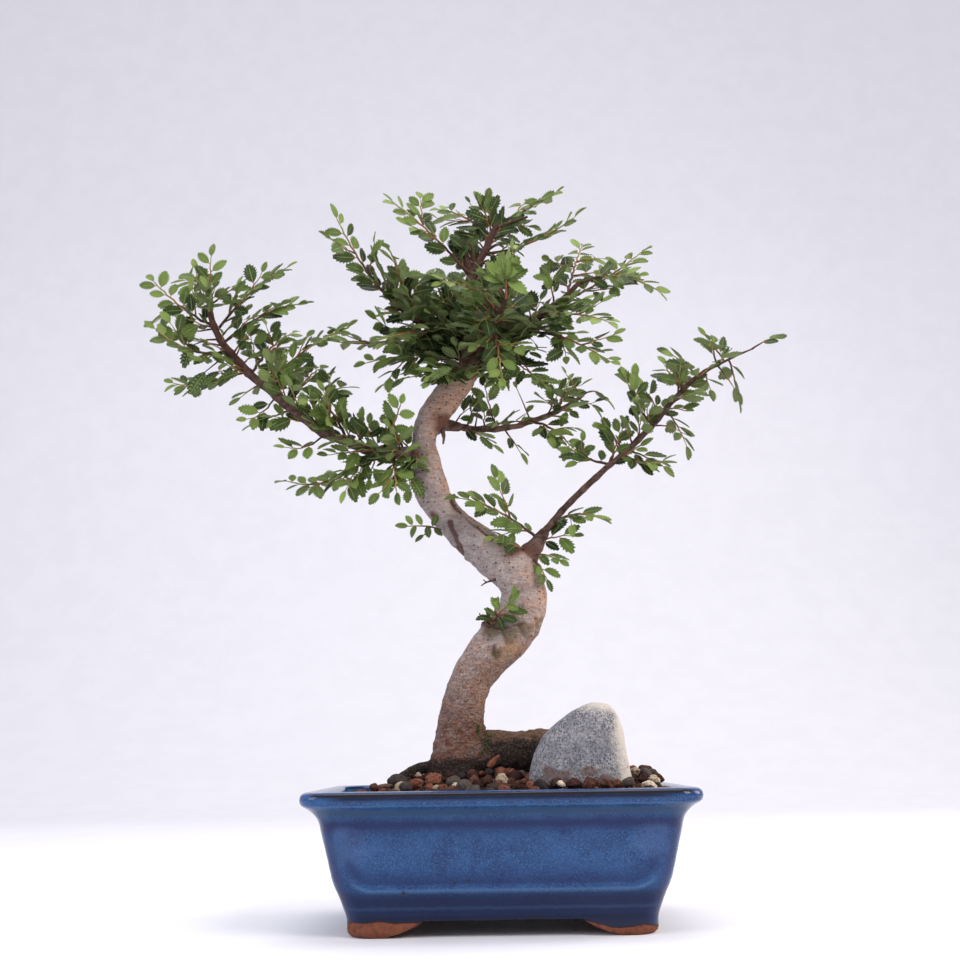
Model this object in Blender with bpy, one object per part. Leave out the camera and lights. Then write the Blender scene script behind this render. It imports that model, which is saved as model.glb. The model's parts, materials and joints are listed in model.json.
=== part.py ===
"""Chinese elm bonsai growing in a glazed rectangular pot.

Shapes are laid out in millimetres round the middle of the pot, on the table's
surface, with +X to the right, -Y to the front and +Z up. They are turned into
metres when their meshes are made.
"""

import math
import random

import bmesh
import bpy
from mathutils import Vector
from mathutils.bvhtree import BVHTree

MM = 0.001
GAP = 0.3
FACET_ALLOWANCE = 0.1
CUT_MARGIN = 2.0
CUT_REACH = 110.0
SHARP_ANGLE = math.radians(35)
POT_CENTRE = (17.0 * MM, -1.2 * MM, 0.0)

# Pot: half lengths and heights of the outside, from the sole to the lip.
POT_OUTSIDE = (
    (78.4, 0.0), (80.4, 2.4), (80.8, 8.5), (82.7, 14.7), (84.6, 20.0), (87.0, 25.7),
    (89.2, 33.0), (91.2, 42.0), (93.0, 51.0), (94.6, 58.0), (97.9, 62.7), (101.6, 65.4),
    (103.0, 68.0), (102.6, 71.2), (99.5, 72.6),
)
POT_INSIDE = ((93.0, 72.4), (91.4, 69.5), (87.4, 58.0), (83.6, 42.0), (79.4, 27.0), (74.0, 18.5), (69.0, 16.0))
POT_HALF_DIFFERENCE = 28.0
POT_CORNER_OUTSIDE = 13.0
POT_CORNER_INSIDE = 9.0
POT_CORNER_STEPS = 3
PANEL_DEPTH = 1.4
PANEL_BOTTOM = 24.5
PANEL_TOP = 52.0
PANEL_EDGE = 5.0
PANEL_ROUND_LOW = 17.0
PANEL_ROUND_TOP = 4.0
PANEL_STEPS_LOW = 5
PANEL_STEPS_TOP = 2
PANEL_LEVELS = slice(3, 11)
PANEL_CUT = 22.0
FOOT_FLAT = 17.0
FOOT_ARCH = ((0.0, 0.0), (8.0, 1.8), (15.0, 4.6), (22.0, 8.5))
DRAIN_RADIUS = 8.0
DRAIN_SIDES = 16
DRAIN_PLACES = (-38.0, 38.0)
FLOOR = POT_INSIDE[-1][1]

# Plastic mesh squares that keep the soil in over the drain holes.
MESH_SIDE = 25.0
MESH_THICK = 1.2
MESH_HOLE = 4.6
MESH_PITCH = 6.8

# Soil: granules on a six-sided net, heaped round the trunk and the stone.
GRANULE_PITCH = 7.0
GRANULE_HEIGHT = (2.0, 5.0)
GRANULE_DIP = 0.5
GRANULE_SCATTER = 0.22
GRANULE_COLUMNS = range(-14, 16)
GRANULE_ROWS = range(-12, 13)
SOIL_EDGE = 67.0
SOIL_CEILING = 100.0
HEAP_SQUEEZE = 1.25
HEAPS = ((-28.0, -2.0, 9.5, 46.0), (45.0, -8.0, 8.0, 42.0), (80.0, 2.0, 7.5, 22.0))

# Stone: height, left and right edge, front and back edge of each level.
STONE_LEVELS = (
    (63.0, 24.0, 62.0, -40.0, -22.0), (67.0, 17.5, 69.0, -45.5, -16.5), (75.0, 15.0, 71.5, -47.5, -14.6),
    (84.0, 16.8, 70.4, -47.0, -14.6), (93.0, 20.2, 69.0, -45.5, -15.6), (101.0, 25.0, 68.2, -43.5, -17.0),
    (108.0, 33.0, 66.0, -41.0, -19.5), (113.0, 41.0, 63.4, -38.0, -22.5), (116.0, 47.0, 60.8, -35.0, -25.6),
    (117.3, 51.0, 57.5, -32.4, -28.4),
)
STONE_SIDES = 14

# Wood: x, y, z and radius of points along each stem, root and limb.
TRUNK = (
    (-27, 1, 52, 9.5), (-26, 0, 66, 15.5), (-25.2, 0, 78, 15.4), (-24, 0, 92, 13.9), (-22.2, 0, 107, 12.9),
    (-19.8, 0, 120, 12.6), (-14.5, 0, 134, 12.4), (-4.5, -1, 147, 13.1), (6.5, -2, 158, 14.0),
    (14.4, -2, 170, 14.0), (15.8, -1, 182, 13.4), (10.8, 0, 193, 13.2), (0.4, 2, 202.5, 12.2),
    (-11, 3, 213, 10.8), (-23, 3, 224, 9.7), (-33, 2, 235, 9.6), (-38.6, 1, 247, 10.4), (-40.5, 0, 258, 9.2),
    (-42, -1, 270, 7.2), (-41.6, -1, 280, 7.4), (-37.4, 0, 291, 8.6), (-30, 1, 301.5, 8.5),
    (-21.5, 1, 311, 8.0), (-14.5, 0, 320, 6.6),
)
OLD_TRUNK = (
    (-24, 0, 84, 11.0), (-8, 0, 89.5, 12.2), (10, 1, 90.6, 12.3), (28, 2, 90.6, 12.2), (44, 3.5, 89, 11.6),
    (57, 6, 84, 10.2), (66, 9, 76, 7.6), (71, 11, 66, 5.0), (72, 12, 57, 3.0),
)
ROOTS = (
    ((-30, -2, 84, 5.2), (-42, -4, 84, 3.8), (-52, -7, 80, 3.2), (-61, -10, 73, 2.6), (-67, -12, 64, 2.0)),
    ((-27, 4, 62, 7.0), (-38, 16, 56, 4.4), (-52, 27, 50, 3.0), (-62, 33, 42, 2.2)),
    ((-24, -4, 60, 7.0), (-16, -18, 54, 4.4), (-6, -30, 47, 3.2), (4, -38, 40, 2.2)),
    ((-27, 1, 58, 7.5), (-31, -2, 44, 4.6), (-40, -6, 34, 3.0), (-48, -8, 28, 2.2)),
)
LIMBS = {
    "left_branch": (
        (-44, 0, 266, 5.0), (-56, -1, 268, 3.9), (-69, -2, 269, 3.5), (-83, -3, 273, 3.4), (-98, -4, 279, 3.3),
        (-112, -5, 287.5, 3.3), (-124, -6, 297.5, 3.3), (-136, -7, 308, 3.2), (-147, -8, 317, 3.0),
        (-156, -9, 326, 2.8), (-166, -10, 339, 2.5), (-171, -11, 352, 2.0), (-173, -12, 364, 1.5),
    ),
    "right_branch": (
        (14, 0, 198, 5.6), (23, -1, 209, 4.2), (30, -2, 219, 3.0), (41, -3, 231, 2.6), (56, -4, 246, 2.4),
        (68, -4, 257, 2.4), (84, -5, 270, 2.3), (98, -6, 284, 2.2), (111, -7, 299, 2.1), (127, -8, 313, 1.8),
        (144, -8, 322, 1.5), (158, -9, 328, 1.2),
    ),
    "back_branch": (
        (-38, 2, 285, 6.0), (-30, 8, 288, 3.6), (-20, 14, 288, 2.6), (-8, 20, 288, 2.2), (6, 26, 290, 2.1),
        (20, 33, 295, 2.0), (34, 40, 302, 1.9), (48, 46, 310, 1.6), (60, 50, 319, 1.3),
    ),
    "leader": (
        (-17, 0, 316, 6.0), (-15, 0, 330, 4.4), (-14.5, 1, 348, 3.6), (-14.5, 1, 366, 3.4), (-13, 0, 380, 3.4),
        (-8, 0, 391, 3.0), (-2, 0, 401, 2.5), (2, 1, 411, 2.0), (5, 2, 419, 1.6),
    ),
    "crown_limb": (
        (-18, 0, 315, 6.0), (-8, -1, 324, 4.8), (3, -3, 331, 3.9), (15, -5, 339, 3.3), (28, -6, 351, 2.8),
        (42, -7, 361, 2.4), (55, -8, 373, 1.8),
    ),
    "front_limb": (
        (-12, -2, 322, 4.6), (-8, -12, 328, 3.0), (-2, -24, 335, 2.5), (4, -36, 343, 2.1), (9, -46, 350, 1.6),
    ),
    "rear_limb": (
        (-14.5, 1, 336, 3.8), (-13, 12, 343, 2.7), (-8, 26, 351, 2.3), (-2, 40, 357, 2.0), (4, 52, 362, 1.5),
    ),
    "west_limb": (
        (-14.5, 1, 340, 3.8), (-24, 2, 345, 2.6), (-38, 0, 348, 2.3), (-52, -4, 356, 2.0), (-64, -8, 366, 1.5),
    ),
    "snag": ((-13, 0, 384, 2.6), (-15, 0, 394, 1.9), (-17.5, 1, 406, 1.5)),
    "dead_twig": ((4, 2, 415, 1.5), (14, -3, 417, 1.0), (24, -7, 419, 0.8)),
}
LIMB_SIDES = 6
OLD_TRUNK_SIDES = 10
ROOT_SIDES = 6
TRUNK_SIDES = 12
TRUNK_UNEVEN = 0.025
OLD_TRUNK_UNEVEN = 0.03
UNEVEN_TWIST = (0.11, 0.07)

# Sprays: limb, how far along it, tip of the shoot, and how far it bows upwards.
SPRAYS = {
    "left_spray_01": ("left_branch", 0.10, (-57, -22, 240), 3),
    "left_spray_02": ("left_branch", 0.14, (-55, -20, 292), -2),
    "left_spray_03": ("left_branch", 0.16, (-126, 14, 255), -9),
    "left_spray_04": ("left_branch", 0.26, (-108, -27, 294), 8),
    "left_spray_05": ("left_branch", 0.34, (-122, -18, 268), -4),
    "left_spray_06": ("left_branch", 0.42, (-90, 2, 311), 5),
    "left_spray_07": ("left_branch", 0.50, (-110, 28, 332), 4),
    "left_spray_08": ("left_branch", 0.56, (-146, -14, 287), -3),
    "left_spray_09": ("left_branch", 0.61, (-88, -20, 341), 5),
    "left_spray_10": ("left_branch", 0.68, (-128, 24, 355), 4),
    "left_spray_11": ("left_branch", 0.72, (-197, 8, 317), -5),
    "left_spray_12": ("left_branch", 0.79, (-199, -30, 338), -6),
    "left_spray_13": ("left_branch", 0.83, (-118, -6, 363), 5),
    "left_spray_14": ("left_branch", 0.88, (-123, -34, 374), 5),
    "left_spray_15": ("left_branch", 0.90, (-207, -12, 376), -3),
    "left_spray_16": ("left_branch", 0.97, (-196, 18, 391), 3),
    "left_spray_17": ("left_branch", 1.00, (-171, -20, 388), 2),
    "crown_spray_01": ("leader", 1.00, (42, 6, 441), -1),
    "crown_spray_02": ("leader", 0.90, (-33, 24, 440), 4),
    "crown_spray_03": ("leader", 0.78, (51, -24, 409), -5),
    "crown_spray_04": ("leader", 0.62, (-60, -10, 428), 3),
    "crown_spray_05": ("west_limb", 1.00, (-93, -28, 408), -4),
    "crown_spray_06": ("west_limb", 0.72, (-60, -44, 381), 5),
    "crown_spray_07": ("west_limb", 0.42, (-110, 40, 357), -6),
    "crown_spray_08": ("west_limb", 0.30, (-65, -38, 327), 2),
    "crown_spray_09": ("leader", 0.10, (-78, 14, 331), 4),
    "crown_spray_10": ("leader", 0.02, (-36, -30, 308), 3),
    "crown_spray_11": ("crown_limb", 0.50, (68, -34, 313), 5),
    "crown_spray_12": ("crown_limb", 0.62, (65, -52, 331), 4),
    "crown_spray_13": ("crown_limb", 0.80, (97, 14, 403), -3),
    "crown_spray_14": ("crown_limb", 1.00, (102, -14, 365), 7),
    "crown_spray_15": ("crown_limb", 0.88, (62, 42, 421), 2),
    "crown_spray_16": ("front_limb", 1.00, (12, -68, 368), 2),
    "crown_spray_17": ("front_limb", 0.55, (5, -44, 302), 6),
    "crown_spray_18": ("front_limb", 0.75, (-28, -62, 352), 6),
    "crown_spray_19": ("rear_limb", 1.00, (38, 72, 376), 5),
    "crown_spray_20": ("rear_limb", 0.75, (-32, 72, 374), 5),
    "crown_spray_21": ("leader", 0.50, (-50, 44, 402), 4),
    "right_spray_01": ("right_branch", 0.10, (-19, -16, 236), 4),
    "right_spray_02": ("right_branch", 0.16, (60, -22, 222), 4),
    "right_spray_03": ("right_branch", 0.42, (46, 14, 274), -2),
    "right_spray_04": ("right_branch", 0.47, (97, -26, 254), -3),
    "right_spray_05": ("right_branch", 0.60, (79, -22, 306), -4),
    "right_spray_06": ("right_branch", 0.66, (119, 14, 275), 3),
    "right_spray_07": ("right_branch", 0.76, (109, 18, 328), -3),
    "right_spray_08": ("right_branch", 0.88, (128, -30, 326), 2),
    "right_spray_09": ("right_branch", 0.92, (152, 10, 303), 5),
    "right_spray_10": ("right_branch", 1.00, (171, -11, 334), 1),
    "back_spray_01": ("back_branch", 0.40, (-5, 12, 315), -2),
    "back_spray_02": ("back_branch", 0.62, (50, 26, 277), 4),
    "back_spray_03": ("back_branch", 0.76, (52, 66, 333), -3),
    "back_spray_04": ("back_branch", 1.00, (75, 55, 318), 4),
}
TRUNK_SPROUTS = {
    "trunk_sprout_low": ((8, -14, 164), (12, -27, 176), 1),
    "trunk_sprout_high": ((-33, 0, 228), (-52, -12, 222), 1),
}
TWIG_SIDES = 3
TWIG_RADIUS = (1.25, 0.8)
TWIG_STEP = 23.0
AXIS_STEPS = 3
SEAT_STEP = 0.1
SEAT_LIMIT = 30.0
LEAF_SPACING = 11.1
LEAF_LENGTH = (13.0, 16.0)
LEAF_WIDTH = 0.60
LEAF_HALF_THICK = 0.35
LEAF_STALK = 1.6
LEAF_NECK = 0.45
LEAF_ROOT = 0.5
LEAF_RIB = 0.48
LEAF_TAPER = 0.2
LEAF_FIRST = 0.55
LEAF_LAST = 0.985
LEAF_ANGLE = math.radians(56)
LEAF_ANGLE_SPREAD = 0.18
LEAF_LOOSE = 0.25
LEAF_LOOSER = 0.12
LEAF_SMALLER = 0.04
LEAF_SIZE_SPREAD = 0.1
LEAF_FACING = (0.25, 0.45, -0.62, 0.62)
LEAF_FOLD = 0.20
LEAF_CURL = 1.3
LEAF_CLEARANCE = 1.12
LEAF_TRIES = 9
LEAF_TEETH = ((0.25, 0.42), (0.30, 0.38), (0.60, 0.50), (0.65, 0.42))
SEED = 7

FINISHES = {
    "glazed_blue": ((0.025, 0.075, 0.22, 1.0), 0.16),
    "soil": ((0.055, 0.026, 0.017, 1.0), 0.92),
    "stone": ((0.27, 0.27, 0.29, 1.0), 0.75),
    "bark": ((0.27, 0.19, 0.15, 1.0), 0.78),
    "leaf": ((0.045, 0.13, 0.025, 1.0), 0.42),
    "mesh": ((0.02, 0.02, 0.022, 1.0), 0.55),
}


def clear_scene():
    """Remove whatever the scene holds."""
    for old in list(bpy.data.objects):
        bpy.data.objects.remove(old, do_unlink=True)


def make_material(name):
    """A Principled material with the colour and roughness listed for it."""
    colour, roughness = FINISHES[name]
    material = bpy.data.materials.new(name)
    material.use_nodes = True
    shader = material.node_tree.nodes["Principled BSDF"]
    shader.inputs["Base Color"].default_value = colour
    shader.inputs["Roughness"].default_value = roughness
    shader.inputs["Metallic"].default_value = 0.0
    material.diffuse_color = colour
    return material


def mesh_object(name, points, faces):
    """An object from points in millimetres, with its faces turned outwards."""
    shape = bmesh.new()
    corners = [shape.verts.new(Vector(p) * MM) for p in points]
    for face in faces:
        shape.faces.new([corners[i] for i in face])
    bmesh.ops.recalc_face_normals(shape, faces=shape.faces)
    mesh = bpy.data.meshes.new(name)
    shape.to_mesh(mesh)
    shape.free()
    made = bpy.data.objects.new(name, mesh)
    bpy.context.scene.collection.objects.link(made)
    return made


def loft(rings):
    """Points and faces of a closed skin through rings of equal length."""
    count = len(rings[0])
    points = [p for ring in rings for p in ring]
    faces = []
    for level in range(len(rings) - 1):
        low = level * count
        for i in range(count):
            j = (i + 1) % count
            faces.append((low + i, low + j, low + count + j, low + count + i))
    faces.append(tuple(reversed(range(count))))
    faces.append(tuple(range(len(points) - count, len(points))))
    return points, faces


def combine(target, others, operation, solver="EXACT"):
    """Join, cut or intersect the target with other objects, which are used up."""
    operands = bpy.data.collections.new("operands")
    bpy.context.scene.collection.children.link(operands)
    for other in others:
        operands.objects.link(other)
    change = target.modifiers.new("combine", "BOOLEAN")
    change.operand_type = "COLLECTION"
    change.collection = operands
    change.operation = operation
    change.solver = solver
    evaluated = target.evaluated_get(bpy.context.evaluated_depsgraph_get())
    result = bpy.data.meshes.new_from_object(evaluated)
    target.modifiers.clear()
    target.data = result
    for other in others:
        bpy.data.objects.remove(other, do_unlink=True)
    bpy.data.collections.remove(operands)


def rounded_rectangle(half_x, half_y, radius, height):
    """One level of the pot: a rectangle with round corners, with its side middles."""
    ring = []
    for turn, (sx, sy) in enumerate(((1, 1), (-1, 1), (-1, -1), (1, -1))):
        for step in range(POT_CORNER_STEPS + 1):
            angle = math.pi / 2 * (turn + step / POT_CORNER_STEPS)
            x = sx * (half_x - radius) + radius * math.cos(angle)
            y = sy * (half_y - radius) + radius * math.sin(angle)
            ring.append((x, y, height))
    return ring


def pot_level(half_length, height, radius, inset=0.0):
    """A level of the pot, moved in by an inset."""
    half_width = half_length - POT_HALF_DIFFERENCE
    return rounded_rectangle(half_length - inset, half_width - inset, radius, height)


def outside_half_length(height):
    """Half the pot's outside length at a height."""
    for (low, z_low), (high, z_high) in zip(POT_OUTSIDE, POT_OUTSIDE[1:]):
        if z_low <= height <= z_high:
            return low + (high - low) * (height - z_low) / (z_high - z_low)
    return POT_OUTSIDE[-1][0]


def panel_outline(half_width):
    """Corners of a panel, seen from outside: small rounds on top, wide ones below."""
    outline = []
    corners = (
        (1, PANEL_TOP, PANEL_ROUND_TOP, 0), (-1, PANEL_TOP, PANEL_ROUND_TOP, 1),
        (-1, PANEL_BOTTOM, PANEL_ROUND_LOW, 2), (1, PANEL_BOTTOM, PANEL_ROUND_LOW, 3),
    )
    for side, height, radius, turn in corners:
        steps = PANEL_STEPS_LOW if height == PANEL_BOTTOM else PANEL_STEPS_TOP
        middle = height - radius if height == PANEL_TOP else height + radius
        for step in range(steps + 1):
            angle = math.pi / 2 * (turn + step / steps)
            across = side * (half_width - radius) + radius * math.cos(angle)
            outline.append((across, middle + radius * math.sin(angle)))
    return outline


def panel_cutters():
    """Four shallow cutters that follow the flare of the pot's sides."""
    body = [pot_level(a, z, POT_CORNER_OUTSIDE, PANEL_DEPTH) for a, z in POT_OUTSIDE[PANEL_LEVELS]]
    low = outside_half_length(PANEL_BOTTOM)
    cutters = []
    for along_x in (True, False):
        reach = low - (0.0 if along_x else POT_HALF_DIFFERENCE) - PANEL_EDGE
        depth = low - (POT_HALF_DIFFERENCE if along_x else 0.0) - PANEL_EDGE
        outline = panel_outline(reach)
        for side in (-1, 1):
            rings = []
            for distance in (depth, depth + PANEL_CUT):
                if along_x:
                    rings.append([(u, side * distance, z) for u, z in outline])
                else:
                    rings.append([(side * distance, u, z) for u, z in outline])
            cutter = mesh_object("panel_cutter", *loft(rings))
            combine(cutter, [mesh_object("pot_core", *loft(body))], "DIFFERENCE")
            cutters.append(cutter)
    return cutters


def arch_cutters():
    """Two low tunnels under the pot, which leave a foot at each corner."""
    cutters = []
    for along_x in (True, False):
        sole = POT_OUTSIDE[0][0] - (0.0 if along_x else POT_HALF_DIFFERENCE) - FOOT_FLAT
        profile = [(sole, -CUT_MARGIN)]
        profile += [(sole - run, rise) for run, rise in FOOT_ARCH]
        profile += [(-u, z) for u, z in reversed(profile)]
        rings = []
        for distance in (-CUT_REACH, CUT_REACH):
            if along_x:
                rings.append([(u, distance, z) for u, z in profile])
            else:
                rings.append([(distance, u, z) for u, z in profile])
        cutters.append(mesh_object("arch_cutter", *loft(rings)))
    return cutters


def turned(radius, low, high, sides, centre):
    """Points and faces of an upright round bar."""
    rings = []
    for height in (low, high):
        ring = []
        for i in range(sides):
            angle = math.tau * i / sides
            ring.append((centre[0] + radius * math.cos(angle), centre[1] + radius * math.sin(angle), height))
        rings.append(ring)
    return loft(rings)


def build_pot():
    """The pot with its lip, sunk panels, corner feet and drain holes."""
    rings = [pot_level(a, z, POT_CORNER_OUTSIDE) for a, z in POT_OUTSIDE]
    rings += [pot_level(a, z, POT_CORNER_INSIDE) for a, z in POT_INSIDE]
    pot = mesh_object("pot", *loft(rings))
    drains = [
        mesh_object("drain_cutter", *turned(DRAIN_RADIUS, -CUT_MARGIN, FLOOR + CUT_MARGIN, DRAIN_SIDES, (x, 0.0)))
        for x in DRAIN_PLACES
    ]
    combine(pot, panel_cutters(), "DIFFERENCE")
    combine(pot, arch_cutters(), "DIFFERENCE")
    combine(pot, drains, "DIFFERENCE")
    return pot


def block(low, high):
    """Points and faces of a plain block between two corners."""
    rings = []
    for z in (low[2], high[2]):
        rings.append([(low[0], low[1], z), (high[0], low[1], z), (high[0], high[1], z), (low[0], high[1], z)])
    return loft(rings)


def build_mesh_square(name, x):
    """A square of plastic mesh that lies on the pot's floor over a drain hole."""
    half = MESH_SIDE / 2
    base = FLOOR + GAP
    square = mesh_object(name, *block((x - half, -half, base), (x + half, half, base + MESH_THICK)))
    holes = []
    for i in (-1, 0, 1):
        for j in (-1, 0, 1):
            middle = (x + i * MESH_PITCH, j * MESH_PITCH)
            low = (middle[0] - MESH_HOLE / 2, middle[1] - MESH_HOLE / 2, base - CUT_MARGIN)
            high = (middle[0] + MESH_HOLE / 2, middle[1] + MESH_HOLE / 2, base + MESH_THICK + CUT_MARGIN)
            holes.append(mesh_object("mesh_hole", *block(low, high)))
    combine(square, holes, "DIFFERENCE")
    return square


def smooth_path(points, steps):
    """A smooth run through points of x, y, z and radius."""
    padded = (points[0],) + tuple(points) + (points[-1],)
    path = []
    for a, b, c, d in zip(padded, padded[1:], padded[2:], padded[3:]):
        for step in range(steps):
            t = step / steps
            path.append(tuple(
                0.5 * (2 * q + (r - p) * t + (2 * p - 5 * q + 4 * r - s) * t * t + (3 * q - p - 3 * r + s) * t ** 3)
                for p, q, r, s in zip(a, b, c, d)
            ))
    path.append(tuple(points[-1]))
    return path


def tube(path, sides, knobbly=0.0, swell=0.0):
    """Points and faces of a stem whose radius follows its path, grown all round by a swell."""
    centres = [Vector(p[:3]) for p in path]
    centres[0] += (centres[0] - centres[1]).normalized() * swell
    centres[-1] += (centres[-1] - centres[-2]).normalized() * swell
    across = Vector((0.0, -1.0, 0.0))
    rings = []
    travelled = 0.0
    for i, centre in enumerate(centres):
        before = centres[max(i - 1, 0)]
        after = centres[min(i + 1, len(centres) - 1)]
        along = (after - before).normalized()
        across = (across - along * across.dot(along)).normalized()
        third = along.cross(across)
        travelled += (centre - before).length
        ring = []
        for k in range(sides):
            angle = math.tau * k / sides
            uneven = math.sin(2 * angle + UNEVEN_TWIST[0] * travelled)
            uneven += math.sin(3 * angle - UNEVEN_TWIST[1] * travelled + 1.0)
            radius = path[i][3] * (1.0 + knobbly * uneven) + swell
            ring.append(tuple(centre + radius * (across * math.cos(angle) + third * math.sin(angle))))
        rings.append(ring)
    return loft(rings)


def wood_tubes(swell=0.0, buried_only=False):
    """Every stem, root and limb of the tree as an object, the trunk first."""
    parts = [mesh_object("wood", *tube(TRUNK, TRUNK_SIDES, TRUNK_UNEVEN, swell))]
    parts.append(mesh_object("wood", *tube(OLD_TRUNK, OLD_TRUNK_SIDES, OLD_TRUNK_UNEVEN, swell)))
    for root in ROOTS:
        parts.append(mesh_object("wood", *tube(root, ROOT_SIDES, 0.0, swell)))
    if not buried_only:
        for limb in LIMBS.values():
            parts.append(mesh_object("wood", *tube(limb, LIMB_SIDES)))
    return parts


def build_trunk():
    """Trunk, old trunk, roots and limbs, grown as one piece."""
    parts = wood_tubes()
    trunk = parts[0]
    trunk.name = "trunk"
    combine(trunk, parts[1:], "UNION")
    return trunk


def stone_rings(swell=0.0):
    """Levels of the stone from its buried foot to its crest."""
    rings = []
    for height, left, right, front, back in STONE_LEVELS:
        centre = ((left + right) / 2, (front + back) / 2)
        ring = []
        for k in range(STONE_SIDES):
            angle = math.tau * k / STONE_SIDES
            x = centre[0] + ((right - left) / 2 + swell) * math.cos(angle)
            y = centre[1] + ((back - front) / 2 + swell) * math.sin(angle)
            lift = -swell if height == STONE_LEVELS[0][0] else 0.0
            ring.append((x, y, height + lift))
        rings.append(ring)
    return rings


def build_stone():
    """The smooth grey stone that stands in front of the old trunk."""
    return mesh_object("stone", *loft(stone_rings()))


def soil_height(x, y):
    """Height of the soil's surface before its granules."""
    height = SOIL_EDGE
    for centre_x, centre_y, rise, reach in HEAPS:
        distance = math.hypot(x - centre_x, (y - centre_y) * HEAP_SQUEEZE)
        height += rise * math.exp(-((distance / reach) ** 2))
    return height


def granule_block():
    """A block of soil whose top is a net of six-sided granules."""
    rng = random.Random(SEED)
    row_step = GRANULE_PITCH * math.sqrt(3) / 2
    points = []
    index = {}
    for j in GRANULE_ROWS:
        for i in GRANULE_COLUMNS:
            x = (i + 0.5 * (j % 2)) * GRANULE_PITCH
            y = j * row_step
            lattice_i = i - (j - (j % 2)) // 2
            is_top = (lattice_i - j) % 3 == 0
            x += rng.uniform(-GRANULE_SCATTER, GRANULE_SCATTER) * GRANULE_PITCH
            y += rng.uniform(-GRANULE_SCATTER, GRANULE_SCATTER) * GRANULE_PITCH
            lift = rng.uniform(*GRANULE_HEIGHT) if is_top else rng.uniform(-GRANULE_DIP, GRANULE_DIP)
            index[i, j] = len(points)
            points.append((x, y, soil_height(x, y) + lift))
    faces = []
    for j in GRANULE_ROWS[:-1]:
        for i in GRANULE_COLUMNS[:-1]:
            here, right = index[i, j], index[i + 1, j]
            up, up_right = index[i, j + 1], index[i + 1, j + 1]
            if j % 2:
                faces += [(here, up_right, up), (here, right, up_right)]
            else:
                faces += [(here, right, up), (right, up_right, up)]
    first, last = GRANULE_COLUMNS[0], GRANULE_COLUMNS[-1]
    rim = [index[i, GRANULE_ROWS[0]] for i in GRANULE_COLUMNS]
    rim += [index[last, j] for j in GRANULE_ROWS[1:]]
    rim += [index[i, GRANULE_ROWS[-1]] for i in reversed(GRANULE_COLUMNS[:-1])]
    rim += [index[first, j] for j in reversed(GRANULE_ROWS[1:-1])]
    base = len(points)
    points += [(points[i][0], points[i][1], 0.0) for i in rim]
    for k in range(len(rim)):
        n = (k + 1) % len(rim)
        faces.append((rim[n], rim[k], base + k, base + n))
    faces.append(tuple(range(base, base + len(rim))))
    return mesh_object("soil", points, faces)


def build_soil():
    """Soil that fills the pot, with holes for the roots, the stone and the mesh squares."""
    soil = granule_block()
    snug = GAP + FACET_ALLOWANCE
    filling = [pot_level(a, z, POT_CORNER_INSIDE, snug) for a, z in reversed(POT_INSIDE[1:])]
    filling[0] = pot_level(POT_INSIDE[-1][0], FLOOR + GAP, POT_CORNER_INSIDE, snug)
    filling.append(pot_level(POT_INSIDE[1][0], SOIL_CEILING, POT_CORNER_INSIDE, snug))
    combine(soil, [mesh_object("filling", *loft(filling))], "INTERSECT")
    combine(soil, wood_tubes(swell=snug, buried_only=True), "DIFFERENCE")
    holes = [mesh_object("stone_hole", *loft(stone_rings(snug)))]
    half = MESH_SIDE / 2 + GAP
    for x in DRAIN_PLACES:
        low = (x - half, -half, FLOOR - CUT_MARGIN)
        high = (x + half, half, FLOOR + 2 * GAP + MESH_THICK)
        holes.append(mesh_object("mesh_recess", *block(low, high)))
    combine(soil, holes, "DIFFERENCE")
    return soil


def surface_of(shape):
    """Points and faces of an object, in millimetres."""
    mesh = shape.data
    points = [v.co / MM for v in mesh.vertices]
    faces = [tuple(p.vertices) for p in mesh.polygons]
    return points, faces


class Crowd:
    """Solids placed so far, which a new twig or leaf has to stay clear of."""

    def __init__(self):
        self.points = []
        self.faces = []
        self.tree = None

    def add(self, points, faces):
        """Take in one more solid."""
        base = len(self.points)
        self.points += [Vector(p) for p in points]
        self.faces += [tuple(base + i for i in face) for face in faces]
        self.tree = None

    def search(self):
        """The search tree over all that was taken in."""
        if self.tree is None and self.faces:
            self.tree = BVHTree.FromPolygons(self.points, self.faces)
        return self.tree

    def touches(self, points, faces):
        """Whether a solid's skin meets anything taken in."""
        tree = self.search()
        if tree is None:
            return False
        return bool(tree.overlap(BVHTree.FromPolygons([Vector(p) for p in points], faces)))


def limb_point(limb, share):
    """The axis point of a limb at a share of its length."""
    path = [Vector(p[:3]) for p in smooth_path(LIMBS[limb], AXIS_STEPS)]
    lengths = [0.0]
    for a, b in zip(path, path[1:]):
        lengths.append(lengths[-1] + (b - a).length)
    target = share * lengths[-1]
    for i in range(len(path) - 1):
        if lengths[i + 1] >= target:
            t = (target - lengths[i]) / (lengths[i + 1] - lengths[i])
            return path[i].lerp(path[i + 1], t)
    return path[-1]


def twig_path(start, tip, bow):
    """Smooth points of a shoot from the wood to its tip, bowed upwards."""
    start, tip = Vector(start), Vector(tip)
    middle = (start + tip) / 2 + Vector((0, 0, 2.0 * bow))
    count = max(2, round((tip - start).length / TWIG_STEP))
    path = []
    for i in range(count + 1):
        t = i / count
        point = start * (1 - t) ** 2 + middle * (2 * t * (1 - t)) + tip * t * t
        radius = TWIG_RADIUS[0] + (TWIG_RADIUS[1] - TWIG_RADIUS[0]) * t
        path.append((point.x, point.y, point.z, radius))
    return path


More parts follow.
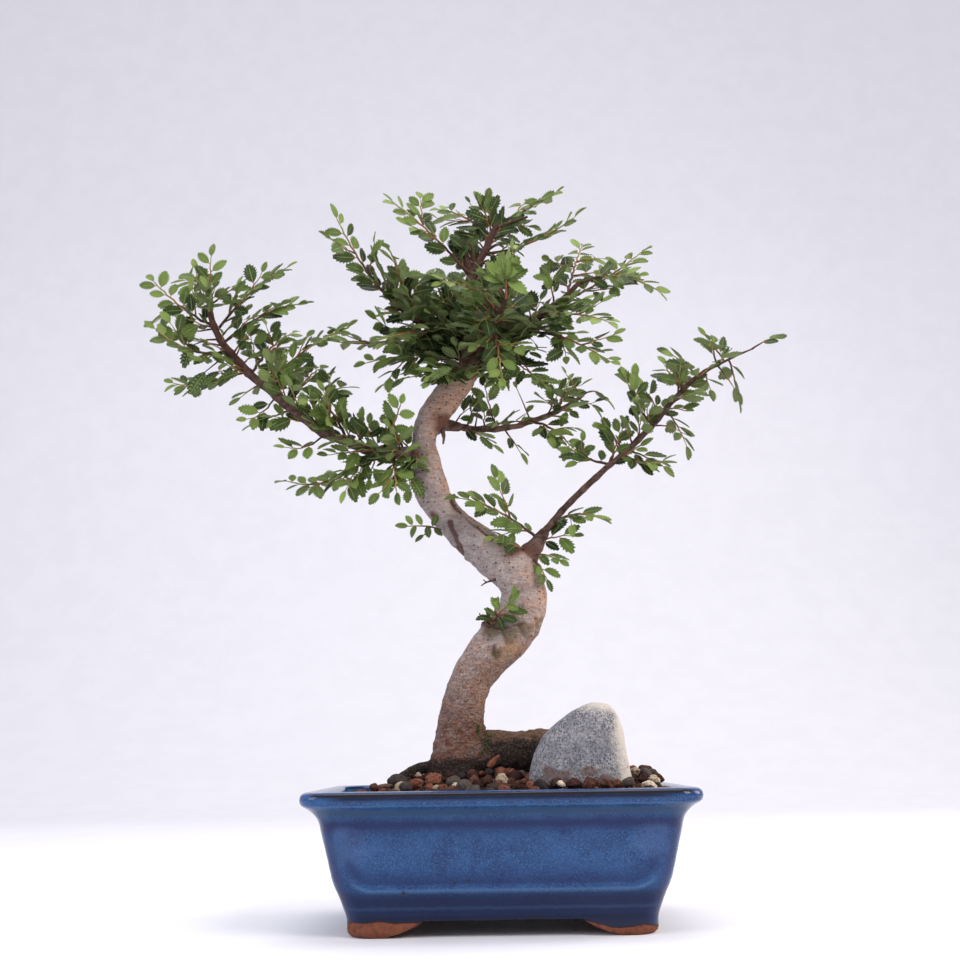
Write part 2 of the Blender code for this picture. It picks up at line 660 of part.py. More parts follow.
def seat_on_wood(axis_point, tip, bow, wood):
    """A shoot that starts a small gap off the bark, heading for its tip."""
    axis_point, tip = Vector(axis_point), Vector(tip)
    distance = 0.0
    while distance < SEAT_LIMIT:
        start = axis_point + (tip - axis_point).normalized() * distance
        path = twig_path(start, tip, bow)
        points, faces = tube(path, TWIG_SIDES)
        end = [Vector(p) for p in points[:TWIG_SIDES]]
        clear = min(wood.find_nearest(p)[3] for p in end)
        outside = all(is_outside(p, wood) for p in end)
        beyond = BVHTree.FromPolygons([Vector(p) for p in tube(path, TWIG_SIDES, swell=GAP / 2)[0]], faces)
        if outside and clear >= GAP and not wood.overlap(beyond):
            return path, points, faces
        distance += SEAT_STEP
    return path, points, faces


def is_outside(point, wood):
    """Whether a point lies outside the wood."""
    nearest, normal, _, _ = wood.find_nearest(point)
    return (point - nearest).dot(normal) > 0.0


def leaf_solid(root, along, normal, length, width, reach, growth=1.0):
    """Points and faces of one toothed, folded and curled leaf with its stalk."""
    along = along.normalized()
    across = normal.cross(along).normalized()
    up = along.cross(across).normalized()

    def place(distance, side, lift):
        share = max(0.0, (distance - reach) / length)
        drop = LEAF_CURL * share * share
        return root + along * distance + across * side + up * (lift - drop)

    thick = LEAF_HALF_THICK * growth
    points = [place(-LEAF_ROOT, 0.0, 0.0), place(reach + length * growth, 0.0, 0.0)]
    for side in (-1, 1):
        points.append(place(reach, side * LEAF_NECK, 0.0))
        for share, half in LEAF_TEETH:
            edge = half * width * growth
            points.append(place(reach + share * length, side * edge, LEAF_FOLD * edge))
    ribs = len(points)
    for face in (1, -1):
        points.append(place(reach - LEAF_NECK / 2, 0.0, face * thick))
        points.append(place(reach + LEAF_RIB * length, 0.0, face * thick))
    faces = []
    for s in (0, 1):
        neck = 2 + s * (len(LEAF_TEETH) + 1)
        rim = list(range(neck, neck + len(LEAF_TEETH) + 1)) + [1]
        for f in (0, 1):
            stalk_rib, blade_rib = ribs + 2 * f, ribs + 2 * f + 1
            half = [(0, neck, stalk_rib), (neck, blade_rib, stalk_rib)]
            half += [(a, b, blade_rib) for a, b in zip(rim, rim[1:])]
            faces += half
    return points, faces


def blade_only(points, faces):
    """The part of a leaf beyond its stalk, for the test against its own twig."""
    return points[1:], [tuple(i - 1 for i in face) for face in faces if 0 not in face]


def place_leaf(rng, place, grown, crowd, twig):
    """One leaf that is clear of all others, or nothing if none fits."""
    root, tangent, normal, side, size, reach = place
    for attempt in range(LEAF_TRIES):
        loose = LEAF_LOOSE + LEAF_LOOSER * attempt
        angle = side * LEAF_ANGLE * (1.0 + rng.uniform(-LEAF_ANGLE_SPREAD, LEAF_ANGLE_SPREAD))
        sideways = normal.cross(tangent).normalized()
        along = tangent * math.cos(angle) + sideways * math.sin(angle)
        along = (along + normal * rng.uniform(-loose, loose)).normalized()
        lean = normal + sideways * rng.uniform(-loose, loose)
        lean += tangent * rng.uniform(-LEAF_LOOSE, LEAF_LOOSE)
        length = size * (1.0 + rng.uniform(-LEAF_SIZE_SPREAD, LEAF_SIZE_SPREAD)) * (1.0 - LEAF_SMALLER * attempt)
        width = LEAF_WIDTH * length
        wide = leaf_solid(root, along, lean, length, width, reach, LEAF_CLEARANCE)
        if crowd.touches(*wide) or grown.touches(*wide) or twig.touches(*blade_only(*wide)):
            continue
        return leaf_solid(root, along, lean, length, width, reach)
    return None


def build_spray(name, seed, path, points, faces, crowd):
    """A leafy shoot: a thin stem with leaves in two rows, fused in one solid."""
    rng = random.Random(seed)
    spray = mesh_object(name, points, faces)
    twig = Crowd()
    twig.add(points, faces)
    grown = Crowd()
    centres = [Vector(p[:3]) for p in path]
    total = sum((b - a).length for a, b in zip(centres, centres[1:]))
    count = max(3, round(total / LEAF_SPACING))
    outward = (centres[-1] - centres[0]).normalized()
    leaves = []
    for k in range(count + 1):
        share = min((k + LEAF_FIRST) / count, LEAF_LAST)
        here = share * (len(centres) - 1)
        i = min(int(here), len(centres) - 2)
        tangent = (centres[i + 1] - centres[i]).normalized()
        root = centres[i].lerp(centres[i + 1], here - i)
        facing = Vector((LEAF_FACING[0] * outward.x, LEAF_FACING[1] * outward.y + LEAF_FACING[2], LEAF_FACING[3]))
        facing += Vector((rng.uniform(-LEAF_LOOSE, LEAF_LOOSE), rng.uniform(-LEAF_LOOSE, LEAF_LOOSE), 0.0))
        normal = (facing - tangent * facing.dot(tangent)).normalized()
        last = k == count
        side = 0 if last else (1 if (k + seed) % 2 else -1)
        size = rng.uniform(*LEAF_LENGTH) * (1.0 - LEAF_TAPER * share)
        leaf = place_leaf(rng, (root, tangent, normal, side, size, LEAF_STALK), grown, crowd, twig)
        if leaf:
            grown.add(*leaf)
            leaves.append(mesh_object("leaf", *leaf))
    combine(spray, leaves, "UNION")
    crowd.add(points, faces)
    crowd.add(grown.points, grown.faces)
    return spray


def build_sprays(trunk, others):
    """All leafy shoots of the tree, each clear of the wood and of the others."""
    wood_points, wood_faces = surface_of(trunk)
    wood = BVHTree.FromPolygons(wood_points, wood_faces)
    crowd = Crowd()
    crowd.add(wood_points, wood_faces)
    for other in others:
        crowd.add(*surface_of(other))
    shoots = {}
    for name, (limb, share, tip, bow) in SPRAYS.items():
        shoots[name] = (limb_point(limb, share), tip, bow)
    shoots.update(TRUNK_SPROUTS)
    seated = {name: seat_on_wood(*shoot, wood) for name, shoot in shoots.items()}
    twigs = Crowd()
    for name, (path, points, faces) in seated.items():
        if twigs.touches(points, faces):
            print("crossing shoot:", name)
        twigs.add(points, faces)
    sprays = []
    for seed, (name, (path, points, faces)) in enumerate(seated.items()):
        around = Crowd()
        around.add(crowd.points, crowd.faces)
        for other, (_, other_points, other_faces) in seated.items():
            if other != name:
                around.add(other_points, other_faces)
        spray = build_spray(name, SEED + seed, path, points, faces, around)
        crowd.add(*surface_of(spray))
        sprays.append(spray)
    return sprays


def dress(piece, material, smooth):
    """Give a piece its material and its shading."""
    piece.data.materials.clear()
    piece.data.materials.append(material)
    if smooth:
        piece.data.shade_smooth()
        piece.data.set_sharp_from_angle(angle=SHARP_ANGLE)


def main():
    """Build every piece and place them all round the middle of the pot."""
    clear_scene()
    materials = {name: make_material(name) for name in FINISHES}
    pot = build_pot()
    trunk = build_trunk()
    stone = build_stone()
    soil = build_soil()
    squares = [build_mesh_square("drain_mesh_left", DRAIN_PLACES[0])]
    squares.append(build_mesh_square("drain_mesh_right", DRAIN_PLACES[1]))
    sprays = build_sprays(trunk, [stone, soil])
    middle = bpy.data.objects.new("bonsai", None)
    bpy.context.scene.collection.objects.link(middle)
    middle.location = POT_CENTRE
    finished = [(pot, "glazed_blue", True), (trunk, "bark", True), (stone, "stone", True), (soil, "soil", False)]
    finished += [(square, "mesh", False) for square in squares]
    finished += [(spray, "leaf", False) for spray in sprays]
    for piece, material, smooth in finished:
        dress(piece, materials[material], smooth)
        piece.parent = middle


main()
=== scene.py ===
"""Looks of a small elm bonsai: tree, stone and soil in a blue glazed pot.

Every piece is laid out in millimetres round the middle of the pot, on the surface
the feet rest on, with +X to the right, -Y to the front and +Z up. Shape.make turns
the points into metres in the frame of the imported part.
"""

from __future__ import annotations

import json
import logging
import math
import random
from dataclasses import dataclass, field
from enum import Enum

import bmesh
import bpy
import numpy as np
from mathutils import Matrix, Vector
from mathutils.bvhtree import BVHTree

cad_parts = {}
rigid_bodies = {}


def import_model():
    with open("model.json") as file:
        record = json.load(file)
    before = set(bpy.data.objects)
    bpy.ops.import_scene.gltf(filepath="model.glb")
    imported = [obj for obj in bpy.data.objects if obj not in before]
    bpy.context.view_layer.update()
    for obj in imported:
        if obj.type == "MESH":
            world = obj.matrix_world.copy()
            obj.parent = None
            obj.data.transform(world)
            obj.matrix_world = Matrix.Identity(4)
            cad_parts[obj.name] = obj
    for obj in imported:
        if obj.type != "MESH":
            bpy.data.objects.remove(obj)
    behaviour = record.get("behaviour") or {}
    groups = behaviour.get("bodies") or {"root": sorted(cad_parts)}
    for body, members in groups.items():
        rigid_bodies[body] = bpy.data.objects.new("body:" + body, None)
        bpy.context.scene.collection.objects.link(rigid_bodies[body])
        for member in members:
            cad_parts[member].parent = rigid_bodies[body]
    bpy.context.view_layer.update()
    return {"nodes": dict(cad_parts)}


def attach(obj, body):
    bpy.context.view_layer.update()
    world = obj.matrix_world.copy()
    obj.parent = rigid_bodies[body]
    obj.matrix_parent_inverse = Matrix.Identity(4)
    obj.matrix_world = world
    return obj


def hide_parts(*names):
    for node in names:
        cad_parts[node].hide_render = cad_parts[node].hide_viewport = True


MM = 0.001
POT_CENTRE = np.array((17.0, -1.2, 0.0))
CELL_SCATTER = (73856093, 19349663, 83492791)
SEED_SCATTER = 40503
LAST_SCATTER = 1274126177
LEAF_SHARP = 38.0
TWIG_SIDES = 7
LOG = logging.getLogger("bonsai")

Numbers = tuple[float, ...]
Rows = tuple[Numbers, ...]
Colour = tuple[float, float, float]
SpurRow = tuple[str, int, float, float, float, float]
Array = np.ndarray
Piece = bpy.types.Object
Finish = bpy.types.Material
EVEN = (1.0, 1.0, 1.0)


# Numbers and shapes


def grain(points: Array, size: float, seed: int) -> Array:
    """Smooth random relief.

    Args:
        points: places in millimetres, one row each.
        size: width of a bump in millimetres.
        seed: which relief is drawn.

    Returns:
        A value from -1 to 1 for each place.
    """
    scaled = points / size
    cell = np.floor(scaled).astype(np.int64)
    part = scaled - cell
    part = part * part * (3.0 - 2.0 * part)
    total = np.zeros(len(points))
    for corner in np.ndindex(2, 2, 2):
        parts = (cell + corner) * CELL_SCATTER
        mixed = parts[:, 0] ^ parts[:, 1] ^ parts[:, 2] ^ seed * SEED_SCATTER
        mixed = (mixed ^ (mixed >> 13)) * LAST_SCATTER
        value = ((mixed ^ (mixed >> 16)) & 0xFFFF) / 32767.5 - 1.0
        total += value * np.prod(np.where(corner, part, 1.0 - part), axis=1)
    return total


def ramp(value: Array, low: float, high: float) -> Array:
    """Smooth step from 0 at low to 1 at high."""
    share = np.clip((value - low) / (high - low), 0.0, 1.0)
    return share * share * (3.0 - 2.0 * share)


def unit(vectors: Array) -> Array:
    """Vectors brought to length 1."""
    return vectors / np.maximum(np.linalg.norm(vectors, axis=-1, keepdims=True), 1e-9)


def bell(value: Array, reach: float | Array) -> Array:
    """A bell curve: 1 where the value is 0, falling away over a reach."""
    return np.exp(-((value / reach) ** 2))


def run_length(points: Array) -> Array:
    """Distance of each point of a line from its start, along the line."""
    return np.concatenate([[0.0], np.cumsum(np.linalg.norm(np.diff(points, axis=0), axis=1))])


def smooth_path(points: Rows, steps: int) -> Array:
    """A smooth run through points.

    Args:
        points: rows of numbers, such as x, y, z and radius.
        steps: how many rows are made for each one.

    Returns:
        The rows of the smooth run.
    """
    rows = np.array(points, float)
    padded = np.vstack([rows[:1], rows, rows[-1:]])
    t = (np.arange(steps) / steps)[:, None]
    made = []
    for a, b, c, d in zip(padded, padded[1:], padded[2:], padded[3:]):
        bend = (2 * a - 5 * b + 4 * c - d) * t * t + (3 * b - a - 3 * c + d) * t**3
        made.append(0.5 * (2 * b + (c - a) * t + bend))
    return np.vstack(made + [rows[-1:]])


def frames(centres: Array) -> tuple[Array, Array, Array]:
    """Directions that follow a line without twisting.

    Args:
        centres: points of the line.

    Returns:
        The direction along the line and two directions across it, for each point.
    """
    along = unit(np.gradient(centres, axis=0))
    across = np.empty_like(along)
    last = np.array((0.12, -1.0, 0.05))
    for i, direction in enumerate(along):
        last = unit(last - direction * (last @ direction))
        across[i] = last
    return along, across, np.cross(along, across)


def skin(rows: int, columns: int, closed: bool = True) -> Array:
    """Four-sided faces of a net of points.

    Args:
        rows: how many rows of points there are.
        columns: how many points a row has.
        closed: whether each row ends where it starts.

    Returns:
        The faces' point numbers.
    """
    wide = columns if closed else columns - 1
    i, k = np.meshgrid(np.arange(rows - 1), np.arange(wide), indexing="ij")
    here, right = i * columns + k, i * columns + (k + 1) % columns
    return np.stack([here, right, right + columns, here + columns], -1).reshape(-1, 4)


def caps(count: int, columns: int) -> list[Array]:
    """The faces that close both ends of a net of a number of points."""
    return [np.arange(columns)[::-1][None], np.arange(count - columns, count)[None]]


def tube(centres: Array, radii: Numbers | Array, sides: int) -> tuple[Array, list[Array]]:
    """A closed stem.

    Args:
        centres: points of its axis.
        radii: its radius at each point, or one for each point and side.
        sides: how many sides it has.

    Returns:
        Its points and its faces.
    """
    _, across, third = frames(centres)
    angle = np.arange(sides) * math.tau / sides
    ring = across[:, None] * np.cos(angle)[:, None] + third[:, None] * np.sin(angle)[:, None]
    radii = np.asarray(radii)
    wide = radii if radii.ndim == 2 else radii[:, None]
    points = (centres[:, None] + ring * wide[..., None]).reshape(-1, 3)
    return points, [skin(len(centres), sides), *caps(len(points), sides)]


def set_value(mesh: bpy.types.Mesh, label: str, values: Array) -> None:
    """Keep one number with each point of a mesh."""
    mesh.attributes.new(label, "FLOAT", "POINT").data.foreach_set("value", values)


@dataclass
class Shape:
    """Points, faces and point values of a piece in the making."""

    points: list[Array] = field(default_factory=list)
    faces: list[Array] = field(default_factory=list)
    values: dict[str, list[Array]] = field(default_factory=dict)
    count: int = 0

    def add(self, points: Array, faces: list[Array], **values: Array | float) -> None:
        """Take in one more skin.

        Args:
            points: its points in millimetres.
            faces: arrays of point numbers, one array for each number of corners.
            **values: numbers kept with the points, the same names each time.
        """
        self.points.append(points)
        self.faces += [np.asarray(some) + self.count for some in faces]
        for name, value in values.items():
            spread = np.broadcast_to(np.asarray(value, float), (len(points),))
            self.values.setdefault(name, []).append(spread)
        self.count += len(points)

    def make(self, name: str, material: Finish | None) -> Piece:
        """Turn the shape into an object.

        Args:
            name: the object's name.
            material: what it is made of.

        Returns:
            The object, in metres.
        """
        mesh = bpy.data.meshes.new(name)
        points = (np.vstack(self.points) + POT_CENTRE) * MM
        corners = np.concatenate([some.ravel() for some in self.faces]).astype(np.int32)
        sizes = np.concatenate([np.full(len(some), some.shape[1]) for some in self.faces])
        starts = np.concatenate([[0], np.cumsum(sizes)[:-1]]).astype(np.int32)
        mesh.vertices.add(len(points))
        mesh.vertices.foreach_set("co", points.ravel())
        mesh.loops.add(len(corners))
        mesh.loops.foreach_set("vertex_index", corners)
        mesh.polygons.add(len(sizes))
        mesh.polygons.foreach_set("loop_start", starts)
        mesh.update(calc_edges=True)
        for label, parts in self.values.items():
            set_value(mesh, label, np.concatenate(parts))
        mesh.shade_smooth()
        made = bpy.data.objects.new(name, mesh)
        bpy.context.scene.collection.objects.link(made)
        if material:
            mesh.materials.append(material)
        return made


def coordinates(piece: Piece) -> Array:
    """A piece's points in millimetres round the middle of the pot."""
    flat = np.empty(len(piece.data.vertices) * 3)
    piece.data.vertices.foreach_get("co", flat)
    return flat.reshape(-1, 3) / MM - POT_CENTRE


def set_coordinates(piece: Piece, points: Array) -> None:
    """Move a piece's points to places in millimetres round the middle of the pot."""
    piece.data.vertices.foreach_set("co", ((points + POT_CENTRE) * MM).ravel())
    piece.data.update()


def point_normals(piece: Piece) -> Array:
    """The outward direction at each point of a piece."""
    flat = np.empty(len(piece.data.vertices) * 3, np.float32)
    piece.data.vertex_normals.foreach_get("vector", flat)
    return flat.reshape(-1, 3).astype(float)


def bake_modifiers(piece: Piece) -> None:
    """Turn what a piece's modifiers make into its own mesh."""
    evaluated = piece.evaluated_get(bpy.context.evaluated_depsgraph_get())
    mesh = bpy.data.meshes.new_from_object(evaluated)
    piece.modifiers.clear()
    piece.data = mesh


def soften(piece: Piece, rounds: int) -> None:
    """Smooth a piece a number of times and bake its modifiers."""
    smooth = piece.modifiers.new("soften", "SMOOTH")
    smooth.factor, smooth.iterations = 0.5, rounds
    bake_modifiers(piece)


def settle(piece: Piece, slot: str, *nodes: str) -> Piece:
    """Fasten a finished piece to the part.

    Args:
        piece: the finished piece.
        slot: the record's slot; not used.
        *nodes: the nodes it stands for.

    Returns:
        The same piece.
    """
    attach(piece, "root")
    if nodes:
        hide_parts(*nodes)
    faces = sum(len(face.vertices) - 2 for face in piece.data.polygons)
    LOG.info("%s: %d triangles", piece.name, faces)
    return piece


# Shader sums


@dataclass(frozen=True)
class Field:
    """A socket of a material that is being painted, which can be used in sums."""

    paint: Paint
    socket: bpy.types.NodeSocket

    def _sum(self, operation: str, first: object, second: object = 0.0) -> Field:
        """A Math node on two values."""
        node = self.paint.node("ShaderNodeMath", {"operation": operation}, {0: first, 1: second})
        return Field(self.paint, node.outputs[0])

    def __add__(self, other: Field | float) -> Field:
        """Sum."""
        return self._sum("ADD", self, other)

    __radd__ = __add__

    def __mul__(self, other: Field | float) -> Field:
        """Product."""
        return self._sum("MULTIPLY", self, other)

    __rmul__ = __mul__

    def __sub__(self, other: Field | float) -> Field:
        """Difference."""
        return self._sum("SUBTRACT", self, other)

    def __rsub__(self, other: Field | float) -> Field:
        """Difference the other way round."""
        return self._sum("SUBTRACT", other, self)

    def most(self, other: Field | float) -> Field:
        """The larger of two values."""
        return self._sum("MAXIMUM", self, other)

    def frayed(self, *layers: tuple[Field, float]) -> Field:
        """The value with noises round 0.5 added, each at its own strength."""
        return sum(((noise - 0.5) * strength for noise, strength in layers), self)

    def size(self) -> Field:
        """The value without its sign."""
        return self._sum("ABSOLUTE", self)

    def rest(self) -> Field:
        """What is left after the last whole number."""
        return self._sum("FRACT", self)

    def step(self, low: float, high: float) -> Field:
        """Smooth step from 0 at low to 1 at high."""
        settings = {"interpolation_type": "SMOOTHSTEP"}
        values = {"Value": self, "From Min": low, "From Max": high}
        return Field(self.paint, self.paint.node("ShaderNodeMapRange", settings, values).outputs[0])

    def ridge(self, middle: float, reach: float) -> Field:
        """1 at a middle value, falling to 0 at a reach from it."""
        return 1.0 - (self - middle).size().step(0.0, reach)


class Paint:
    """The node tree of one material."""

    def __init__(self, name: str) -> None:
        """Start a material with a Principled shader.

        Args:
            name: the material's name.
        """
        self.material = bpy.data.materials.new(name)
        self.material.use_nodes = True
        self.tree = self.material.node_tree
        self.shader = self.tree.nodes["Principled BSDF"]
        self.place = self.tree.nodes.new("ShaderNodeTexCoord").outputs["Object"]

    def node(self, kind: str, settings: dict[str, object], values: dict[str | int, object]) -> bpy.types.Node:
        """Add a node.

        Args:
            kind: the node's type.
            settings: its properties, set before its sockets; "stops" fills a ramp.
            values: numbers, colours, fields or sockets for its inputs.

        Returns:
            The node.
        """
        made = self.tree.nodes.new(kind)
        for label, value in settings.items():
            if label == "stops":
                self._stops(made.color_ramp, value)
            else:
                setattr(made, label, value)
        for label, value in values.items():
            self.feed(made.inputs[label], value)
        return made

    @staticmethod
    def _stops(band: bpy.types.ColorRamp, stops: list[tuple[float, Colour]]) -> None:
        """Fill a colour ramp.

        Args:
            band: the ramp.
            stops: the places and the colours along it.
        """
        while len(band.elements) < len(stops):
            band.elements.new(1.0)
        for element, (where, colour) in zip(band.elements, stops):
            element.position = where
            element.color = (*colour, 1.0)

    def feed(self, socket: bpy.types.NodeSocket, value: object) -> None:
        """Set a socket, or link it if the value is a field or a socket.

        Args:
            socket: the input.
            value: a number, a colour, a field or a socket.
        """
        if isinstance(value, Field):
            value = value.socket
        if isinstance(value, bpy.types.NodeSocket):
            self.tree.links.new(value, socket)
        elif isinstance(value, tuple) and len(value) == 3 and socket.type == "RGBA":
            socket.default_value = (*value, 1.0)
        else:
            socket.default_value = value

    def value(self, label: str) -> Field:
        """A number kept with the points."""
        node = self.node("ShaderNodeAttribute", {"attribute_name": label}, {})
        return Field(self, node.outputs["Fac"])

    def axes(self) -> tuple[Field, Field, Field]:
        """The place in millimetres, as three fields."""
        split = self.node("ShaderNodeSeparateXYZ", {}, {0: self.place}).outputs
        return tuple(Field(self, split[k]) * 1000.0 - float(POT_CENTRE[k]) for k in range(3))

    def stretched(self, stretch: Colour) -> bpy.types.NodeSocket:
        """The place with its axes scaled."""
        node = self.node("ShaderNodeVectorMath", {"operation": "MULTIPLY"}, {0: self.place, 1: stretch})
        return node.outputs[0]

    def noise(self, size: float, detail: float = 3.0, rough: float = 0.55, stretch: Colour = EVEN) -> Field:
        """Cloudy noise.

        Args:
            size: width of a cloud in millimetres.
            detail: how many finer layers it has.
            rough: how strong they are.
            stretch: scale of each axis.

        Returns:
            Values round 0.5.
        """
        values = {"Vector": self.stretched(stretch), "Scale": 1000.0 / size}
        values |= {"Detail": detail, "Roughness": rough}
        return Field(self, self.node("ShaderNodeTexNoise", {}, values).outputs["Fac"])

    def cells(self, size: float, stretch: Colour = EVEN) -> tuple[Field, Field]:
        """Scattered cells.

        Args:
            size: width of a cell in millimetres.
            stretch: scale of each axis.

        Returns:
            The distance in cells, and a random value for each cell.
        """
        values = {"Vector": self.stretched(stretch), "Scale": 1000.0 / size}
        made = self.node("ShaderNodeTexVoronoi", {}, values).outputs
        shade = self.node("ShaderNodeSeparateXYZ", {}, {0: made["Color"]})
        return Field(self, made["Distance"]), Field(self, shade.outputs[0])

    def mix(self, share: Field | float, first: object, second: object, blend: str = "MIX") -> Field:
        """One colour laid over another by a share."""
        settings = {"data_type": "RGBA", "blend_type": blend, "clamp_factor": True}
        made = self.node("ShaderNodeMix", settings, {0: share, 6: first, 7: second})
        return Field(self, made.outputs[2])

    def coats(self, colour: object, *coats: tuple[Field | float, object]) -> Field:
        """Lay colours over a first one in turn, each by its own share."""
        for share, over in coats:
            colour = self.mix(share, colour, over)
        return colour

    def band(self, value: Field, stops: list[tuple[float, Colour]]) -> Field:
        """Colours along a value from 0 to 1."""
        made = self.node("ShaderNodeValToRGB", {"stops": stops}, {0: value})
        return Field(self, made.outputs[0])

    def bump(self, *layers: tuple[Field, float]) -> None:
        """Raise the surface.

        Args:
            *layers: pairs of a field and the height in millimetres that its value 1 stands for.
        """
        total = sum((height * layer for layer, height in layers[1:]), layers[0][1] * layers[0][0])
        made = self.node("ShaderNodeBump", {}, {"Strength": 1.0, "Distance": MM, "Height": total})
        self.feed(self.shader.inputs["Normal"], made.outputs[0])

    def dress(self, **inputs: object) -> Finish:
        """Feed the shader's inputs, named with _ for a space, and return the material."""
        for label, value in inputs.items():
            self.feed(self.shader.inputs[label.replace("_", " ").title().replace("Ior", "IOR")], value)
        return self.material


# Finishes


@dataclass(frozen=True)
class Glaze:
    """Mottled blue glaze that breaks dark on edges and stops above bare clay, with painted shade, painted
    highlights and painted reflections laid into its colour.
    """

    denim: Colour = (0.019, 0.078, 0.215)
    pale: Colour = (0.080, 0.175, 0.330)
    cobalt: Colour = (0.001, 0.011, 0.072)
    lip_shade_slate: Colour = (0.012, 0.042, 0.088)
    edge: Colour = (0.010, 0.006, 0.007)
    clay: Colour = (0.180, 0.056, 0.028)
    soot: Colour = (0.016, 0.008, 0.008)
    ink: Colour = (0.002, 0.005, 0.022)
    # colour of the painted reflection near the ends of the long sides
    bloom: Colour = (0.085, 0.140, 0.300)
    blister: Colour = (0.10, 0.14, 0.10)

    def material(self) -> Finish:
        """Paint the glaze.

        Returns:
            The pot's material.
        """
        paint = Paint("blue_glaze")
        x, _, z = paint.axes()
        speck = paint.noise(0.75, 2, 0.7)
        fleck, _ = paint.cells(1.5)
        cloud = paint.noise(16)
        pool = paint.noise(5, 2)
        mottle = (speck * 1.5 + cloud * 0.75 + pool * 0.35 - 0.85).step(-0.1, 0.75)
        wobble = z.frayed((pool, 1.6))
        # painted shade: darker cobalt under the flare below the lip, along the panel edges where the glaze
        # also pools, above the foot and towards the bottom of the body
        deep = wobble.ridge(56, 5.5) * 0.95
        deep = deep.most(paint.value("recess_edge") * 0.62)
        deep = deep.most(wobble.ridge(9.8, 3.4)).most(z.step(27, 18) * 0.85)
        face = wobble.ridge(69.4, 2.8) * x.size().step(92, 78) * 0.85
        # painted shade: near-black glaze towards the bottom of the body
        low = (z.step(25, 19) * 0.52).most(z.step(14, 9.5) * 0.8)
        # painted reflection: pale lilac patches towards the ends of the front and back
        reflection_haze = (paint.value("bloom") * 1.2).frayed((cloud, 1.6), (speck, 0.7)).step(0.25, 1.2)
        # painted highlights: a pale line along the panels' lower edge and along the mouldings at 65.6 and
        # 14.6 mm
        light = paint.value("light_line").most(wobble.ridge(65.6, 0.9) * 0.4)
        light = light.most(wobble.ridge(14.6, 1.6) * 0.14)
        pits, chance = paint.cells(26)
        ring = pits.ridge(0.055, 0.022) * chance.step(0.62, 0.66)
        hole = paint.value("pinhole")
        glazed = paint.coats(
            self.cobalt,
            (mottle, self.denim),
            (speck.step(0.56, 0.74) * 0.55, self.pale),
            (fleck.step(0.20, 0.05) * pool.step(0.45, 0.6) * 0.55, self.cobalt),
            # painted shade and pooled glaze in cobalt
            (deep, self.cobalt),
            # painted shade: a darker slate band under the lip
            (wobble.ridge(62.3, 3.4) * 0.75, self.lip_shade_slate),
            # ink: the dark lip face, and painted shade low on the body
            (face.most(low), self.ink),
            (reflection_haze * 0.24, self.bloom),
            # painted shade down the rounded corners, where the glaze also breaks dark
            (paint.value("corner") * (pool * 0.8 + 0.35), self.cobalt),
            # painted highlights in pale glaze
            (light * (speck * 0.6 + 0.5), self.pale),
            (paint.value("rim_edge") * (paint.noise(9) + 0.5).step(0.55, 0.85), self.edge),
            (ring * 0.7, self.blister),
            (hole, self.edge),
        )
        glost = paint.value("glaze_line")
        scorched = paint.mix(0.45, self.clay, self.soot)
        burnt = paint.mix(paint.noise(2.5).step(0.4, 0.7), self.clay, scorched)
        body = paint.coats(burnt, (glost.step(0.42, 0.56), glazed), (glost.ridge(0.5, 0.42) * 0.9, self.soot))
        smear = paint.noise(7, 4)
        rough = glost.step(0.42, 0.58) * -0.72 + 0.86 + (smear - 0.5) * 0.10
        glassy = glost.step(0.35, 0.6)
        paint.bump((glassy, 0.22), (speck, 0.035), (cloud, 0.25), (ring, -0.12), (hole, -0.4))
        return paint.dress(base_color=body, roughness=rough, specular_ior_level=0.33)


